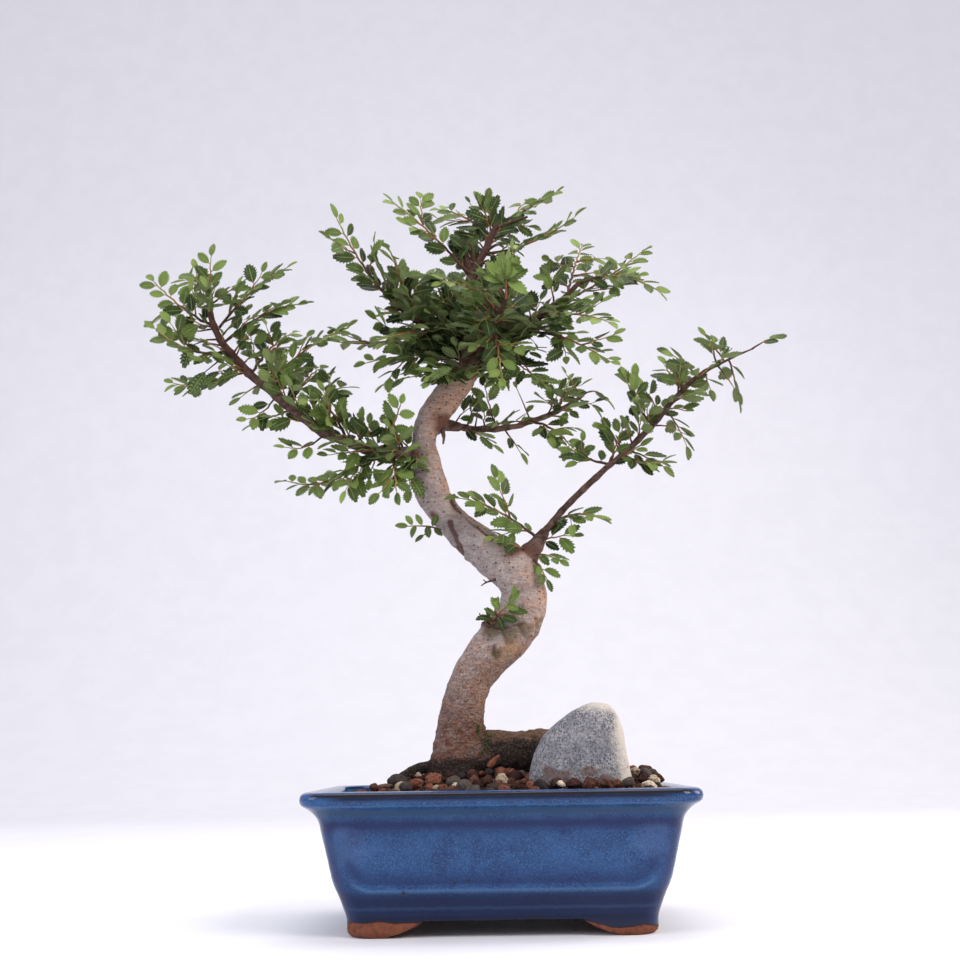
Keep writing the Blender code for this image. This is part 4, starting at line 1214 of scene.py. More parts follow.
@dataclass
class ElmWood:
    """Trunk, old horizontal trunk, roots and limbs, grown together."""

    voxel: float = 1.0
    limb_sides: int = 14
    trunk_sides: int = 40
    stem_seed: int = 3
    limb_seed: int = 17
    slim: dict[str, float] = field(default_factory=lambda: {
        "front_limb": 0.62, "rear_limb": 0.8, "west_limb": 0.8, "crown_limb": 0.68, "right_branch": 0.76,
    })
    collars: Rows = (
        (-45, -3, 266, 7), (21, -2, 206, 8), (-32, -2, 286, 9), (-14, -2, 320, 10),
        (-3, -11, 163, 6), (-37, -6, 228, 3.5), (10, -9, 205, 5.5), (-26, -4, 239, 3),
    )
    knobs: Rows = (
        (-28, -3, 269, 6.5, 2), (19, -3, 201, 9, 1.8), (-4, -11, 163, 5, 2.6),
        (-46, -2, 266, 6, 1.2), (-30, 0, 285, 6, 1.5), (5, -9, 190, 7, 1.6),
        (13, -9, 206, 6, 2), (-26, -4, 239, 3.2, 1.6), (-20, 0, 292, 7, 2.4),
        (-6, 0, 104, 5, 2), (2, -13, 158, 3, 1.4), (9, -14, 163, 3.5, 1.6),
        (16, -12, 158, 3, 1.2), (20, -8, 164, 4, 1.2), (-36, -6, 262, 5, 0.9),
    )
    scars: tuple[tuple[Numbers, float, float, float], ...] = (
        ((-26.5, 223.6, -24.2, 217, -21, 209, -19.1, 204.4), 1.6, 1.1, 1),
        ((-19.1, 204.4, -17, 200.5, -15.6, 197.3), 0.7, 0.7, 0.9),
        ((-26.4, 236.8, -19.4, 228.2, -8.9, 218.5, 1.5, 211.2, 10.7, 204), 0.5, 0.9, 0.85),
        ((0.8, 202.9, -0.5, 194.7, -0.1, 187.7, 4.4, 178.9), 0.5, 0.8, 0.4),
        ((-1.3, 151.9, -2, 146, 0.3, 140.5), 0.5, 0.6, 0.8),
        ((22, 166.4, 22.6, 160, 20.6, 153.3), 0.6, 0.7, 0.6),
        ((-5.5, 163, 0.6, 159.9, 7.5, 160.9, 15.5, 163), 0.7, 1.1, 0.8),
        ((-6.5, 165, -4.1, 155.4), 0.5, 0.8, 0.6),
        ((3, 160.5, 6, 152), 0.4, 0.7, 0.6),
        ((12, 161.5, 16, 154), 0.4, 0.7, 0.6),
        ((-34, 109, -29, 103.5, -22, 101.5, -14, 105.5), 0.3, 0.5, 0.15),
        ((-34, 102, -28, 96.5, -21, 95, -13, 99), 0.3, 0.5, 0.15),
        ((-32, 114.5, -25, 109.5, -17, 110.5, -12, 113), 0.3, 0.4, 0.1),
    )
    lichen: Rows = (
        (-2, -12, 158, 6.5), (7, -14, 157, 6), (15, -12, 160, 5.5), (23, -8, 165, 5),
        (-1, -13, 146, 3), (-36, -6, 113, 3),
    )
    bare: Rows = ((9, -14, 148, 6), (6, -13, 142, 4), (-6, -10, 118, 4))
    stubs: tuple[Rows, ...] = (
        (
            (2, -9, 161, 2.4), (-3, -13, 163, 1.8), (-6, -14.5, 165.5, 1.1), (-8.5, -15, 166, 0.6),
            (-10, -15, 169, 0.35),
        ),
        ((0, -11, 162, 1.6), (-5, -15.5, 161.5, 0.9), (-8, -17, 163.5, 0.5), (-9, -17, 161, 0.3)),
        ((4, -12, 161, 1.7), (2, -16, 165, 1), (1.5, -17, 168, 0.6)),
        ((8, -13, 160, 1.5), (9, -16.5, 163, 0.7)),
        ((3, -8, 190, 1.2), (-2, -9.5, 188.6, 0.75), (-6, -10, 187.2, 0.5), (-8.8, -10.4, 185.3, 0.3)),
        ((-5.6, -10, 187.4, 0.45), (-7.6, -11, 188.9, 0.25)),
        ((-31, -1, 283, 1.9), (-30, -2, 277, 1), (-30.5, -2, 273, 0.6)),
        ((-27, -5, 238, 2), (-24.5, -6, 240, 1.1), (-23.5, -6, 241, 0.4)),
        ((-13, -1, 383, 1.8), (-19, -5, 388, 1.1), (-23, -7, 392, 0.6)),
        ((-12, -1, 384, 1.7), (-6, -6, 388, 1), (-1, -9, 389, 0.6)),
        ((-13, -1, 378, 1.7), (-9, -7, 371, 1.1), (-7, -9, 363, 0.7)),
        ((-10, 0, 388, 1.5), (-11, -4, 398, 0.8), (-14, -6, 404, 0.5)),
        ((-14, -1, 370, 1.6), (-19, -6, 366, 1), (-25, -9, 365, 0.6)),
        ((-3, 0, 399, 1.3), (4, -5, 401, 0.8), (11, -8, 400, 0.5)),
    )

    def stems(self) -> Shape:
        """The thick stems and roots, and the first part of each limb."""
        shape = Shape()
        rng = random.Random(self.stem_seed)
        thick = [(TRUNK, self.trunk_sides, 0.03), (OLD_TRUNK, 32, 0.04)]
        thick += [(root, 18, 0.05) for root in ROOTS]
        thick += [(limb[:3], 24, 0.0) for name, limb in LIMBS.items() if name != "dead_twig"]
        for path, sides, uneven in thick:
            rows = smooth_path(path, 6)
            turn = np.arange(sides) * math.tau / sides
            run = np.arange(len(rows))[:, None]
            waves = np.sin(2 * turn + 0.23 * run + rng.random()) + np.sin(3 * turn - 0.15 * run + 1.0)
            radii = rows[:, 3:4] * (1.0 + uneven * waves)
            shape.add(*tube(rows[:, :3], radii, sides))
        return shape

    def build_trunk(self, finish: Finish) -> Piece:
        """Melt the stems into one skin, wrinkle it and mark it.

        Args:
            finish: the bark.

        Returns:
            The trunk.
        """
        trunk = self.stems().make("trunk_wood", finish)
        melt = trunk.modifiers.new("melt", "REMESH")
        melt.mode, melt.voxel_size = "VOXEL", self.voxel * MM
        soften(trunk, 7)
        points, outward = coordinates(trunk), point_normals(trunk)
        collar = self.near(points, self.collars)
        lift = 0.55 * grain(points, 13.0, 21) + 0.32 * grain(points, 5.0, 22)
        lift += (0.22 + 0.5 * collar) * grain(points * (0.45, 0.45, 1.0), 2.1, 23)
        lift += 0.75 * collar + (0.12 + 0.4 * ramp(-points[:, 2], -165, -105)) * grain(points, 2.2, 24)
        for *spot, height in self.knobs:
            lift += height * self.near(points, (spot,))
        cut = np.zeros(len(points))
        front = ramp(-outward[:, 1], -0.1, 0.2)
        flat = points[:, (0, 2)]
        for path, width, depth, tint in self.scars:
            knots = np.array(path).reshape(-1, 2)
            away = np.full(len(points), 50.0)
            for head, tail in zip(knots, knots[1:]):
                way = tail - head
                share = np.clip((flat - head) @ way / (way @ way), 0.0, 1.0)
                away = np.minimum(away, np.linalg.norm(flat - head - share[:, None] * way, axis=1))
            away += 0.85 * grain(points, 3.4, 25) + 0.25 * grain(points, 1.6, 26)
            here = ramp(-away, -width - 0.9, -width * 0.4) * front
            lift += front * 0.6 * depth * bell(away - width * 1.8, 1.4) - depth * here
            cut = np.maximum(cut, here * tint)
        set_coordinates(trunk, points + outward * lift[:, None])
        x, z = points[:, 0], points[:, 2]
        beside = ramp(x + 0.6 * (z - 92), -11, -3) * ramp(z, 112, 103)
        side_root = ramp(-x, 38, 44) * ramp(z, 100, 92)
        marks = {
            "collar": collar,
            "scar": cut,
            "thin": self.slimness(points),
            "lichen": self.near(points, self.lichen),
            "bare": self.near(points, self.bare),
            # lit side for the bark's painted light and painted shade
            "sunny": 0.5 + 0.5 * outward[:, 0],
            "old": np.maximum(beside, side_root),
        }
        for label, values in marks.items():
            set_value(trunk.data, label, values)
        trunk.data.shade_smooth()
        return settle(trunk, "bark", "trunk")

    @staticmethod
    def slimness(points: Array) -> Array:
        """How far each point lies on the thinner part of a limb.

        Args:
            points: the trunk's points.

        Returns:
            A share from 0 to 1 for each point.
        """
        best = np.zeros(len(points))
        for limb in LIMBS.values():
            for row in smooth_path(limb[:3], 6):
                close = np.linalg.norm(points - row[:3], axis=1) < 1.5 * row[3]
                best = np.maximum(best, close * float(ramp(-row[3:], -5.2, -3)[0]))
        return best

    @staticmethod
    def near(points: Array, spots: Rows) -> Array:
        """How near each point is to any of some spots.

        Args:
            points: the points.
            spots: x, y, z and reach of each spot.

        Returns:
            A share from 0 to 1 for each point.
        """
        best = np.zeros(len(points))
        for x, y, z, reach in spots:
            gap = np.linalg.norm(points - (x, y, z), axis=1)
            best = np.maximum(best, bell(gap, reach))
        return best

    def build_limbs(self, finish: Finish) -> None:
        """Build the limbs as one piece, with their nodes, spurs and swellings.

        Args:
            finish: the bark.
        """
        shape = Shape()
        rng = random.Random(self.limb_seed)
        for name, limb in LIMBS.items():
            rows = smooth_path(limb, 9)
            centres = rows[:, :3].copy()
            wander = np.stack([grain(centres + 40.0 * k, 11.0, 31 + k) for k in range(3)], -1)
            keep = ramp(np.arange(len(rows)), 2, 14)[:, None]
            centres += 0.7 * wander * keep
            length = run_length(centres)
            knots = np.zeros(len(rows))
            place = rng.uniform(5.0, 11.0)
            while place < length[-1]:
                knots += rng.uniform(0.10, 0.24) * bell(length - place, rng.uniform(1.2, 2.2))
                place += rng.uniform(6.0, 12.0)
            angle = np.arange(self.limb_sides) * math.tau / self.limb_sides
            uneven = 0.06 * np.sin(2 * angle + 0.3 * np.arange(len(rows))[:, None])
            radii = rows[:, 3:4] * self.slim.get(name, 0.88) * (1.0 + knots[:, None] + uneven)
            thin, collar = ramp(-rows[:, 3], -5.2, -3), 0.25 * knots
            marks = {"thin": np.repeat(thin, self.limb_sides), "collar": np.repeat(collar, self.limb_sides)}
            shape.add(*tube(centres, radii, self.limb_sides), **marks, sunny=0.5)
        for stub in self.stubs:
            rows = smooth_path(stub, 5)
            radii = rows[:, 3] * (1.0 + 0.15 * grain(rows[:, :3], 1.6, 27))
            shape.add(*tube(rows[:, :3], radii, 9), thin=0.95, collar=0.3, sunny=0.5)
        settle(shape.make("limb_wood", finish), "bark")


# Soil


@dataclass
class SoilBed:
    """Packed granules of lava, baked clay and pumice, heaped round trunk and stone."""

    edge: float = 67.0
    heaps: Rows = (
        (-28, -2, 9.5, 46), (45, -8, 8, 42), (80, 2, 7.5, 22),
        (-4, -22, 3.5, 22), (48, -54, 3.4, 28), (-52, -12, 1.6, 18),
    )
    half_x: float = 91.0
    half_y: float = 63.0
    corner: float = 9.0
    cell: float = 12.0
    tries: int = 26000
    big_tries: int = 9000
    spot_seed: int = 5
    mix_seed: int = 9
    coarse: int = 1150
    dust: int = 1000
    kinds: tuple[tuple[GrainKind, float], ...] = (
        (GrainKind.LAVA, 0.66), (GrainKind.CLAY, 0.21), (GrainKind.PUMICE, 0.04), (GrainKind.CHIP, 0.09),
    )
    shapes_each: int = 7
    bed_columns: int = 74
    bed_rows: int = 50
    bed_foot: float = 22.0
    finishes: tuple[Granule, ...] = (
        Granule(GrainKind.LAVA, (0.205, 0.070, 0.040), (0.030, 0.011, 0.008), 1.0, 0.82),
        Granule(GrainKind.CLAY, (0.098, 0.072, 0.063), (0.014, 0.010, 0.009), 0.35, 0.72),
        Granule(GrainKind.PUMICE, (0.64, 0.53, 0.41), (0.36, 0.27, 0.19), 0.7, 0.85),
        Granule(GrainKind.CHIP, (0.17, 0.090, 0.060), (0.045, 0.025, 0.018), 0.0, 0.78),
    )
    placed: tuple[tuple[str, float, float, float, float], ...] = (
        ("pumice", -6, -27, 76, 2.8), ("pumice", 1, -27, 77, 4.3), ("clay", -6, -19, 81, 2.4),
        ("pumice", -45, -16, 80, 1.8), ("clay", -21, -22, 79, 2.5), ("lava", -36, -26, 77, 5.0),
        ("clay", -56, -20, 76, 5.4), ("clay", -50, -46, 74, 3.7), ("clay", -25, -30, 76, 3.9),
        ("clay", -19, -46, 74, 4.8), ("lava", -12, -40, 75, 3.2), ("lava", 10, -46, 74, 4.2),
        ("lava", 6, -34, 76, 2.6), ("lava", -45, -34, 76, 3.4), ("chip", -61, -44, 75, 3.0),
        ("lava", -67, -40, 74, 3.0), ("lava", 29, -55, 74.5, 4.4), ("pumice", 31, -59, 75, 2.2),
        ("lava", 38, -55, 74.5, 4.2), ("lava", 46, -56, 74.5, 4.6), ("lava", 55, -55, 74.5, 4.2),
        ("clay", 21, -55, 74, 4.0), ("clay", 67, -50, 75, 3.6), ("pumice", 84, -20, 76, 2.8),
        ("pumice", 86, -24, 75, 2.2), ("clay", 81, -14, 79, 3.4), ("pumice", 76, -10, 80, 3.2),
        ("clay", 86, -4, 78.5, 3.6), ("lava", 88, -12, 76, 3.8), ("lava", 77, -30, 76, 3.6),
    )
    red_sliver: Rows = ((-6, -17.5, 83.5, 1.9), (-4, -17.5, 86, 2.4), (0, -17.5, 90, 0.5))

    def height(self, x: float | Array, y: float | Array) -> float | Array:
        """Height of the soil's surface."""
        total = np.full(np.shape(x), self.edge)
        for centre_x, centre_y, rise, reach in self.heaps:
            total = total + rise * bell(np.hypot(x - centre_x, (y - centre_y) * 1.25), reach)
        return total - 4.2 * ramp(-x, 54, 70)

    def inside(self, x: float, y: float, margin: float) -> bool:
        """Whether a spot lies in the pot, a margin from its wall."""
        corner = self.corner
        dx = abs(x) - (self.half_x - corner)
        dy = abs(y) - (self.half_y - corner)
        return math.hypot(max(dx, 0.0), max(dy, 0.0)) + min(max(dx, dy), 0.0) - corner < -margin

    def template(self, kind: GrainKind, fineness: int, seed: int) -> tuple[Array, Array]:
        """One granule's shape.

        Args:
            kind: what it is.
            fineness: how often its ball is divided.
            seed: which shape is drawn.

        Returns:
            Its points at radius 1, and its faces.
        """
        ball = bmesh.new()
        bmesh.ops.create_icosphere(ball, subdivisions=fineness, radius=1.0)
        points = np.array([v.co[:] for v in ball.verts])
        faces = np.array([[v.index for v in f.verts] for f in ball.faces])
        ball.free()
        if kind is GrainKind.CLAY:
            lift = 1.0 + 0.15 * grain(points + 9.0 * seed, 0.8, seed) + 0.06 * grain(points + seed, 0.3, seed)
            return points * lift[:, None] * (1.05, 0.92, 0.78), faces
        rng = np.random.default_rng(seed)
        count, stretch = (5, (1.9, 0.75, 0.30)) if kind is GrainKind.CHIP else (9, (1.1, 0.9, 0.78))
        lift = np.ones(len(points))
        for cut in unit(rng.normal(size=(count, 3))):
            lift = np.minimum(lift, rng.uniform(0.66, 0.86) / np.maximum(unit(points) @ cut, 1e-3))
        lift = lift + 0.13 * grain(points + 7.0 * seed, 0.45, seed)
        lift = lift + 0.07 * grain(points + seed, 0.21, seed)
        return points * lift[:, None] * stretch, faces

    def spots(self, obstacles: list[BVHTree]) -> list[tuple[float, float, float, float]]:
        """Places for the granules.

        Args:
            obstacles: search trees of what stands in the soil, in metres.

        Returns:
            x, y, z and radius of each granule.
        """
        rng = random.Random(self.spot_seed)
        found = []
        cells: dict[tuple[int, int], list[tuple[float, float, float]]] = {}
        for number in range(self.tries):
            radius = rng.uniform(2.9, 5.0) if number < self.big_tries else rng.uniform(1.6, 3.0)
            x = rng.uniform(-self.half_x, self.half_x)
            y = rng.uniform(-self.half_y, self.half_y)
            if not self.inside(x, y, radius * 0.75) or len(found) >= self.coarse:
                continue
            key = (int(x // self.cell), int(y // self.cell))
            around = [(key[0] + i, key[1] + j) for i in (-1, 0, 1) for j in (-1, 0, 1)]
            close = [p for spot in around for p in cells.get(spot, [])]
            if any(math.hypot(x - p[0], y - p[1]) < 0.78 * (radius + p[2]) for p in close):
                continue
            z = self.height(x, y) + rng.uniform(-0.6, 1.6) + 0.34 * radius
            place = Vector((np.array((x, y, z)) + POT_CENTRE) * MM)
            if any(tree.find_nearest(place)[3] < 0.62 * radius * MM for tree in obstacles):
                continue
            cells.setdefault(key, []).append((x, y, radius))
            found.append((x, y, z, radius))
        return found

    def build(self, obstacles: list[BVHTree]) -> None:
        """Build the bed and its granules.

        Args:
            obstacles: search trees of what stands in the soil, in metres.
        """
        self.build_bed()
        rng = random.Random(self.mix_seed)
        shapes = {kind: Shape() for kind, _ in self.kinds}
        kinds, weights = zip(*self.kinds)
        templates = {
            (kind, fine): [self.template(kind, fine, 40 + k) for k in range(self.shapes_each)]
            for kind in kinds for fine in (1, 2, 3, 4)
        }
        work = [(GrainKind(kind), x, y, z, radius, 4) for kind, x, y, z, radius in self.placed]
        for x, y, z, radius in self.spots(obstacles):
            if any(math.hypot(x - w[1], y - w[2]) < 0.8 * (radius + w[4]) for w in work[:len(self.placed)]):
                continue
            seen = y < -34.0 or math.hypot(x + 28.0, y) < 34.0 or math.hypot(x - 82.0, y) < 20.0
            work.append((rng.choices(kinds, weights)[0], x, y, z, radius, 3 if seen and radius > 2.4 else 2))
        for _ in range(self.dust):
            x, y = rng.uniform(-self.half_x, self.half_x), rng.uniform(-self.half_y, self.half_y)
            radius = rng.uniform(0.5, 1.3)
            if self.inside(x, y, 1.0):
                z = self.height(x, y) + rng.uniform(-0.8, 2.6)
                work.append((rng.choices(kinds, weights)[0], x, y, z, radius, 1))
        for kind, x, y, z, radius, fine in work:
            points, faces = rng.choice(templates[kind, fine])
            turn = Matrix.Rotation(rng.uniform(0, math.tau), 3, "Z")
            turn = turn @ Matrix.Rotation(rng.gauss(0, 0.55), 3, "X")
            placed = points @ np.array(turn).T * radius + (x, y, z)
            shapes[kind].add(placed, [faces], tone=rng.random())
        sliver = smooth_path(self.red_sliver, 3)
        shapes[GrainKind.LAVA].add(*tube(sliver[:, :3], sliver[:, 3] * 0.8, 7), tone=0.9)
        for finish in self.finishes:
            settle(shapes[finish.kind].make("soil_" + finish.kind.value, finish.material()), "soil")

    def build_bed(self) -> None:
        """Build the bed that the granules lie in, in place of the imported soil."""
        columns, rows = self.bed_columns, self.bed_rows
        half = np.array((self.half_x, self.half_y))
        x, y = np.meshgrid(np.linspace(-1, 1, columns), np.linspace(-1, 1, rows))
        top = np.stack([x, y, np.zeros_like(x)], -1).reshape(-1, 3)
        top[:, :2] *= half - 1.2
        beyond = np.maximum(np.abs(top[:, :2]) - half + self.corner, 0)
        corner = np.hypot(beyond[:, 0], beyond[:, 1])
        top[:, :2] *= np.where(corner > 7.8, 0.965, 1.0)[:, None]
        level = self.height(top[:, 0], top[:, 1]) - 0.6
        top[:, 2] = level + 0.9 * grain(top, 3.0, 51) + 0.5 * grain(top, 1.6, 52)
        base = top * (0.84, 0.84, 0.0) + (0.0, 0.0, self.bed_foot)
        count = len(top)
        rim = np.concatenate([
            np.arange(columns), np.arange(1, rows) * columns + columns - 1,
            (rows - 1) * columns + np.arange(columns - 2, -1, -1), np.arange(rows - 2, 0, -1) * columns,
        ])
        after = np.roll(rim, -1)
        sides = np.stack([after, rim, rim + count, after + count], -1)
        flat = skin(rows, columns, closed=False)
        shape = Shape()
        shape.add(np.vstack([top, base]), [flat, flat[:, ::-1] + count, sides], tone=0.35)
        finish = Granule(GrainKind.CHIP, (0.075, 0.036, 0.024), (0.022, 0.013, 0.010), 0.6, 0.85)
        settle(shape.make("soil_bed", finish.material()), "soil", "soil")


# Leaves

SPRAYS = {
    "left": (
        (
            "left_branch", (0.10, -57, -22, 240, 3), (0.14, -55, -20, 292, -2), (0.16, -126, 14, 255, -9),
            (0.26, -108, -27, 294, 8), (0.34, -122, -18, 268, -4), (0.42, -90, 2, 311, 5),
            (0.50, -110, 28, 332, 4), (0.56, -146, -14, 287, -3), (0.61, -88, -20, 341, 5),
            (0.68, -128, 24, 355, 4), (0.72, -197, 8, 317, -5), (0.79, -199, -30, 338, -6),
            (0.83, -118, -6, 363, 5), (0.88, -123, -34, 374, 5), (0.90, -207, -12, 376, -3),
            (0.97, -196, 18, 391, 3), (1.00, -171, -20, 388, 2),
        ),
    ),
    "crown": (
        (
            "leader", (1.00, 42, 6, 441, -1), (0.90, -33, 24, 440, 4), (0.78, 51, -24, 409, -5),
            (0.62, -60, -10, 428, 3),
        ),
        (
            "west_limb", (1.00, -93, -28, 408, -4), (0.72, -60, -44, 381, 5), (0.42, -110, 40, 357, -6),
            (0.30, -65, -38, 327, 2),
        ),
        ("leader", (0.10, -78, 14, 331, 4), (0.02, -36, -30, 308, 3)),
        (
            "crown_limb", (0.50, 68, -34, 313, 5), (0.62, 65, -52, 331, 4), (0.80, 97, 14, 403, -3),
            (1.00, 102, -14, 365, 7), (0.88, 62, 42, 421, 2),
        ),
        ("front_limb", (1.00, 12, -68, 368, 2), (0.55, 5, -44, 302, 6), (0.75, -28, -62, 352, 6)),
        ("rear_limb", (1.00, 38, 66, 376, 5), (0.75, -32, 66, 374, 5)),
        ("leader", (0.50, -50, 44, 402, 4)),
    ),
    "right": (
        (
            "right_branch", (0.10, -19, -16, 236, 4), (0.16, 60, -22, 222, 4), (0.42, 46, 14, 274, -2),
            (0.47, 97, -26, 254, -3), (0.60, 79, -22, 306, -4), (0.66, 119, 14, 275, 3),
            (0.76, 109, 18, 328, -3), (0.88, 128, -30, 326, 2), (0.92, 152, 10, 303, 5),
            (1.00, 171, -11, 334, 1),
        ),
    ),
    "back": (
        (
            "back_branch", (0.40, -5, 12, 315, -2), (0.62, 50, 26, 277, 4), (0.76, 52, 64, 333, -3),
            (1.00, 75, 55, 318, 4),
        ),
    ),
}
SPROUTS = {
    "trunk_sprout_low": (
        ((-2, -11, 161), (0, -15.5, 167), (5, -18.5, 172), (9.5, -20.5, 176.5)),
        ((0, -15, 167), (5, -18, 168.2), (9, -20, 169)),
        ((-1, -13, 164), (-4, -16, 166), (-7, -17, 167)), ((0, -15, 167), (-1, -17, 170), (-1, -18, 172)),
    ),
    "trunk_sprout_high": (
        ((-32, -3, 220), (-38, -6, 221.5), (-45, -9, 221.5), (-51, -11, 221)),
        ((-38, -6, 221.5), (-40, -8, 218), (-42, -9, 216)),
    ),
}
SPROUT_LEAVES = {
    "trunk_sprout_low": (
        (7, -20, 174, 48, 9, 0.5), (6.5, -19.5, 169.5, -8, 11, 0.3), (1.5, -18.5, 170, 118, 8.5, 0.35),
        (3, -18.5, 166.5, -22, 9, 0.2), (-3, -17, 165.5, 172, 8, 0.1), (-1, -17.5, 167, 146, 7.5, 0.15),
        (9.5, -21, 177, 82, 6.5, 0.8), (-1, -18, 172, 70, 6, 0.5), (1, -17.5, 165.5, -70, 6.5, 0.1),
        (-6.5, -17, 167, 200, 6, 0.2), (5.5, -19.5, 172.5, -20, 7.5, 0.4), (-4.5, -17, 166.5, 100, 5.5, 0.2),
    ),
    "trunk_sprout_high": (
        (-37, -7, 221.7, 62, 7, 0.2), (-40, -8, 221.5, -80, 7.5, 0.3), (-43, -9, 222, 115, 7, 0.4),
        (-46.5, -10, 221.5, -112, 7.5, 0.4), (-51, -11.5, 221, 178, 7.5, 0.7),
        (-36, -6.5, 220, -40, 6.5, 0.1), (-48.5, -10.5, 221.8, 128, 6.5, 0.6),
        (-42, -9.5, 216, 222, 6.5, 0.4),
    ),
}


def limb_point(limb: str, share: float) -> Array:
    """The middle of a limb at a share of its length.

    Args:
        limb: the limb's name.
        share: how far along it.

    Returns:
        The point.
    """
    centres = smooth_path(LIMBS[limb], 3)[:, :3]
    length = run_length(centres)
    return np.array([np.interp(share * length[-1], length, centres[:, k]) for k in range(3)])


@dataclass
class Growth:
    """What one plant part grows into: its random draws, its wood and its leaves."""

    rng: random.Random
    twigs: Shape = field(default_factory=Shape)
    leaves: Shape = field(default_factory=Shape)

    def make(self, name: str, green: Finish, brown: Finish) -> None:
        """Make and settle the leaves and twigs of a spray, which is named like its node."""
        leaf_piece(self.leaves, name + "_leaves", green, name)
        settle(self.twigs.make(name + "_twigs", brown), "foliage", name)


def leaf_piece(leaves: Shape, name: str, green: Finish, *nodes: str) -> None:
    """Make and settle a piece of leaves, with their teeth and ribs kept sharp."""
    piece = leaves.make(name, green)
    piece.data.set_sharp_from_angle(angle=math.radians(LEAF_SHARP))
    settle(piece, "foliage", *nodes)


@dataclass
class ToothedLeaf:
    """One elm leaf: folded along its rib, with a toothed edge and a thin body."""

    teeth: int = 7
    width: float = 0.60
    thick: float = 0.20
    columns: Numbers = (-1.0, -0.5, 0.0, 0.5, 1.0)

    def __post_init__(self) -> None:
        """Work out the net that all leaves share."""
        rows = []
        for tooth in range(self.teeth):
            start = (tooth + 0.05) / self.teeth
            rows += [(start, 0.76, 0.0), (start + 0.66 / self.teeth, 1.08, 0.42 / self.teeth)]
        rows.append((1.0, 1.0, 0.0))
        along, notch, shift = np.array(rows).T
        blunt = np.where(along < 0.5, 0.55, 0.74)
        half = np.clip(4 * along * (1 - along), 0.0, 1.0) ** blunt * notch
        half[0] = 0.09
        half[-1] = 0.012
        side = np.array(self.columns)
        self.along = along[:, None] + shift[:, None] * np.abs(side) ** 3
        self.half = half[:, None] * side
        self.side = np.broadcast_to(np.abs(side), self.half.shape)
        count, width = self.half.size, len(side)
        self.lower = np.arange(count).reshape(-1, width)[:, (0, width // 2, width - 1)].ravel()
        top, under = skin(len(rows), width, closed=False), skin(len(rows), 3, closed=False) + count
        row = np.arange(len(rows) - 1)
        left, below = row * width, count + row * 3
        rims = [
            np.stack([left, left + width, below + 3, below], -1),
            np.stack([left + width - 1, below + 2, below + 5, left + 2 * width - 1], -1),
        ]
        stem = np.concatenate([np.arange(width)[::-1], count + np.arange(3)])
        tip = np.concatenate([count - width + np.arange(width), count + len(rows) * 3 - 1 - np.arange(3)])
        self.faces = [top, under[:, ::-1], *rims, stem[None], tip[None]]

    def grow(
        self, growth: Growth, root: Array, along: Array, up: Array, size: float, young: float, tone: float,
    ) -> None:
        """Grow one leaf.

        Args:
            growth: what it is added to.
            root: where its blade starts.
            along: the way it points.
            up: the way its upper face looks.
            size: its length.
            young: its youth, from 0 to 1.
            tone: how light its green may be, from 0 to 1.
        """
        rng, along = growth.rng, unit(along)
        across = unit(np.cross(up, along))
        up = np.cross(along, across)
        wide = self.half * size * self.width * 0.5 * rng.uniform(0.92, 1.08)
        fold = rng.uniform(0.12, 0.34) + 0.22 * young
        droop = rng.uniform(0.02, 0.22) - 0.08 * young
        arch = rng.uniform(0.0, 0.25)
        twist = rng.uniform(-0.35, 0.35)
        run = self.along * size
        bulge = np.abs(wide) * fold - arch * wide**2 / (0.3 * size)
        lift = bulge - droop * size * self.along**2 + twist * wide * self.along
        lift += 0.02 * size * np.sin(math.tau * self.teeth * self.along) * (self.side > 0.4)
        sheet = root + run[..., None] * along + wide[..., None] * across
        sheet = sheet.reshape(-1, 3)
        sheet = sheet + lift.reshape(-1, 1) * up
        lower = sheet[self.lower] - self.thick * up
        along_all, side_all = self.along.ravel(), self.side.ravel()
        growth.leaves.add(
            np.vstack([sheet, lower]), self.faces, tone=tone * rng.random(), young=young,
            along=np.concatenate([along_all, along_all[self.lower]]),
            side=np.concatenate([side_all, side_all[self.lower]]),
            under=np.repeat((0.0, 1.0), (len(sheet), len(lower))),
        )


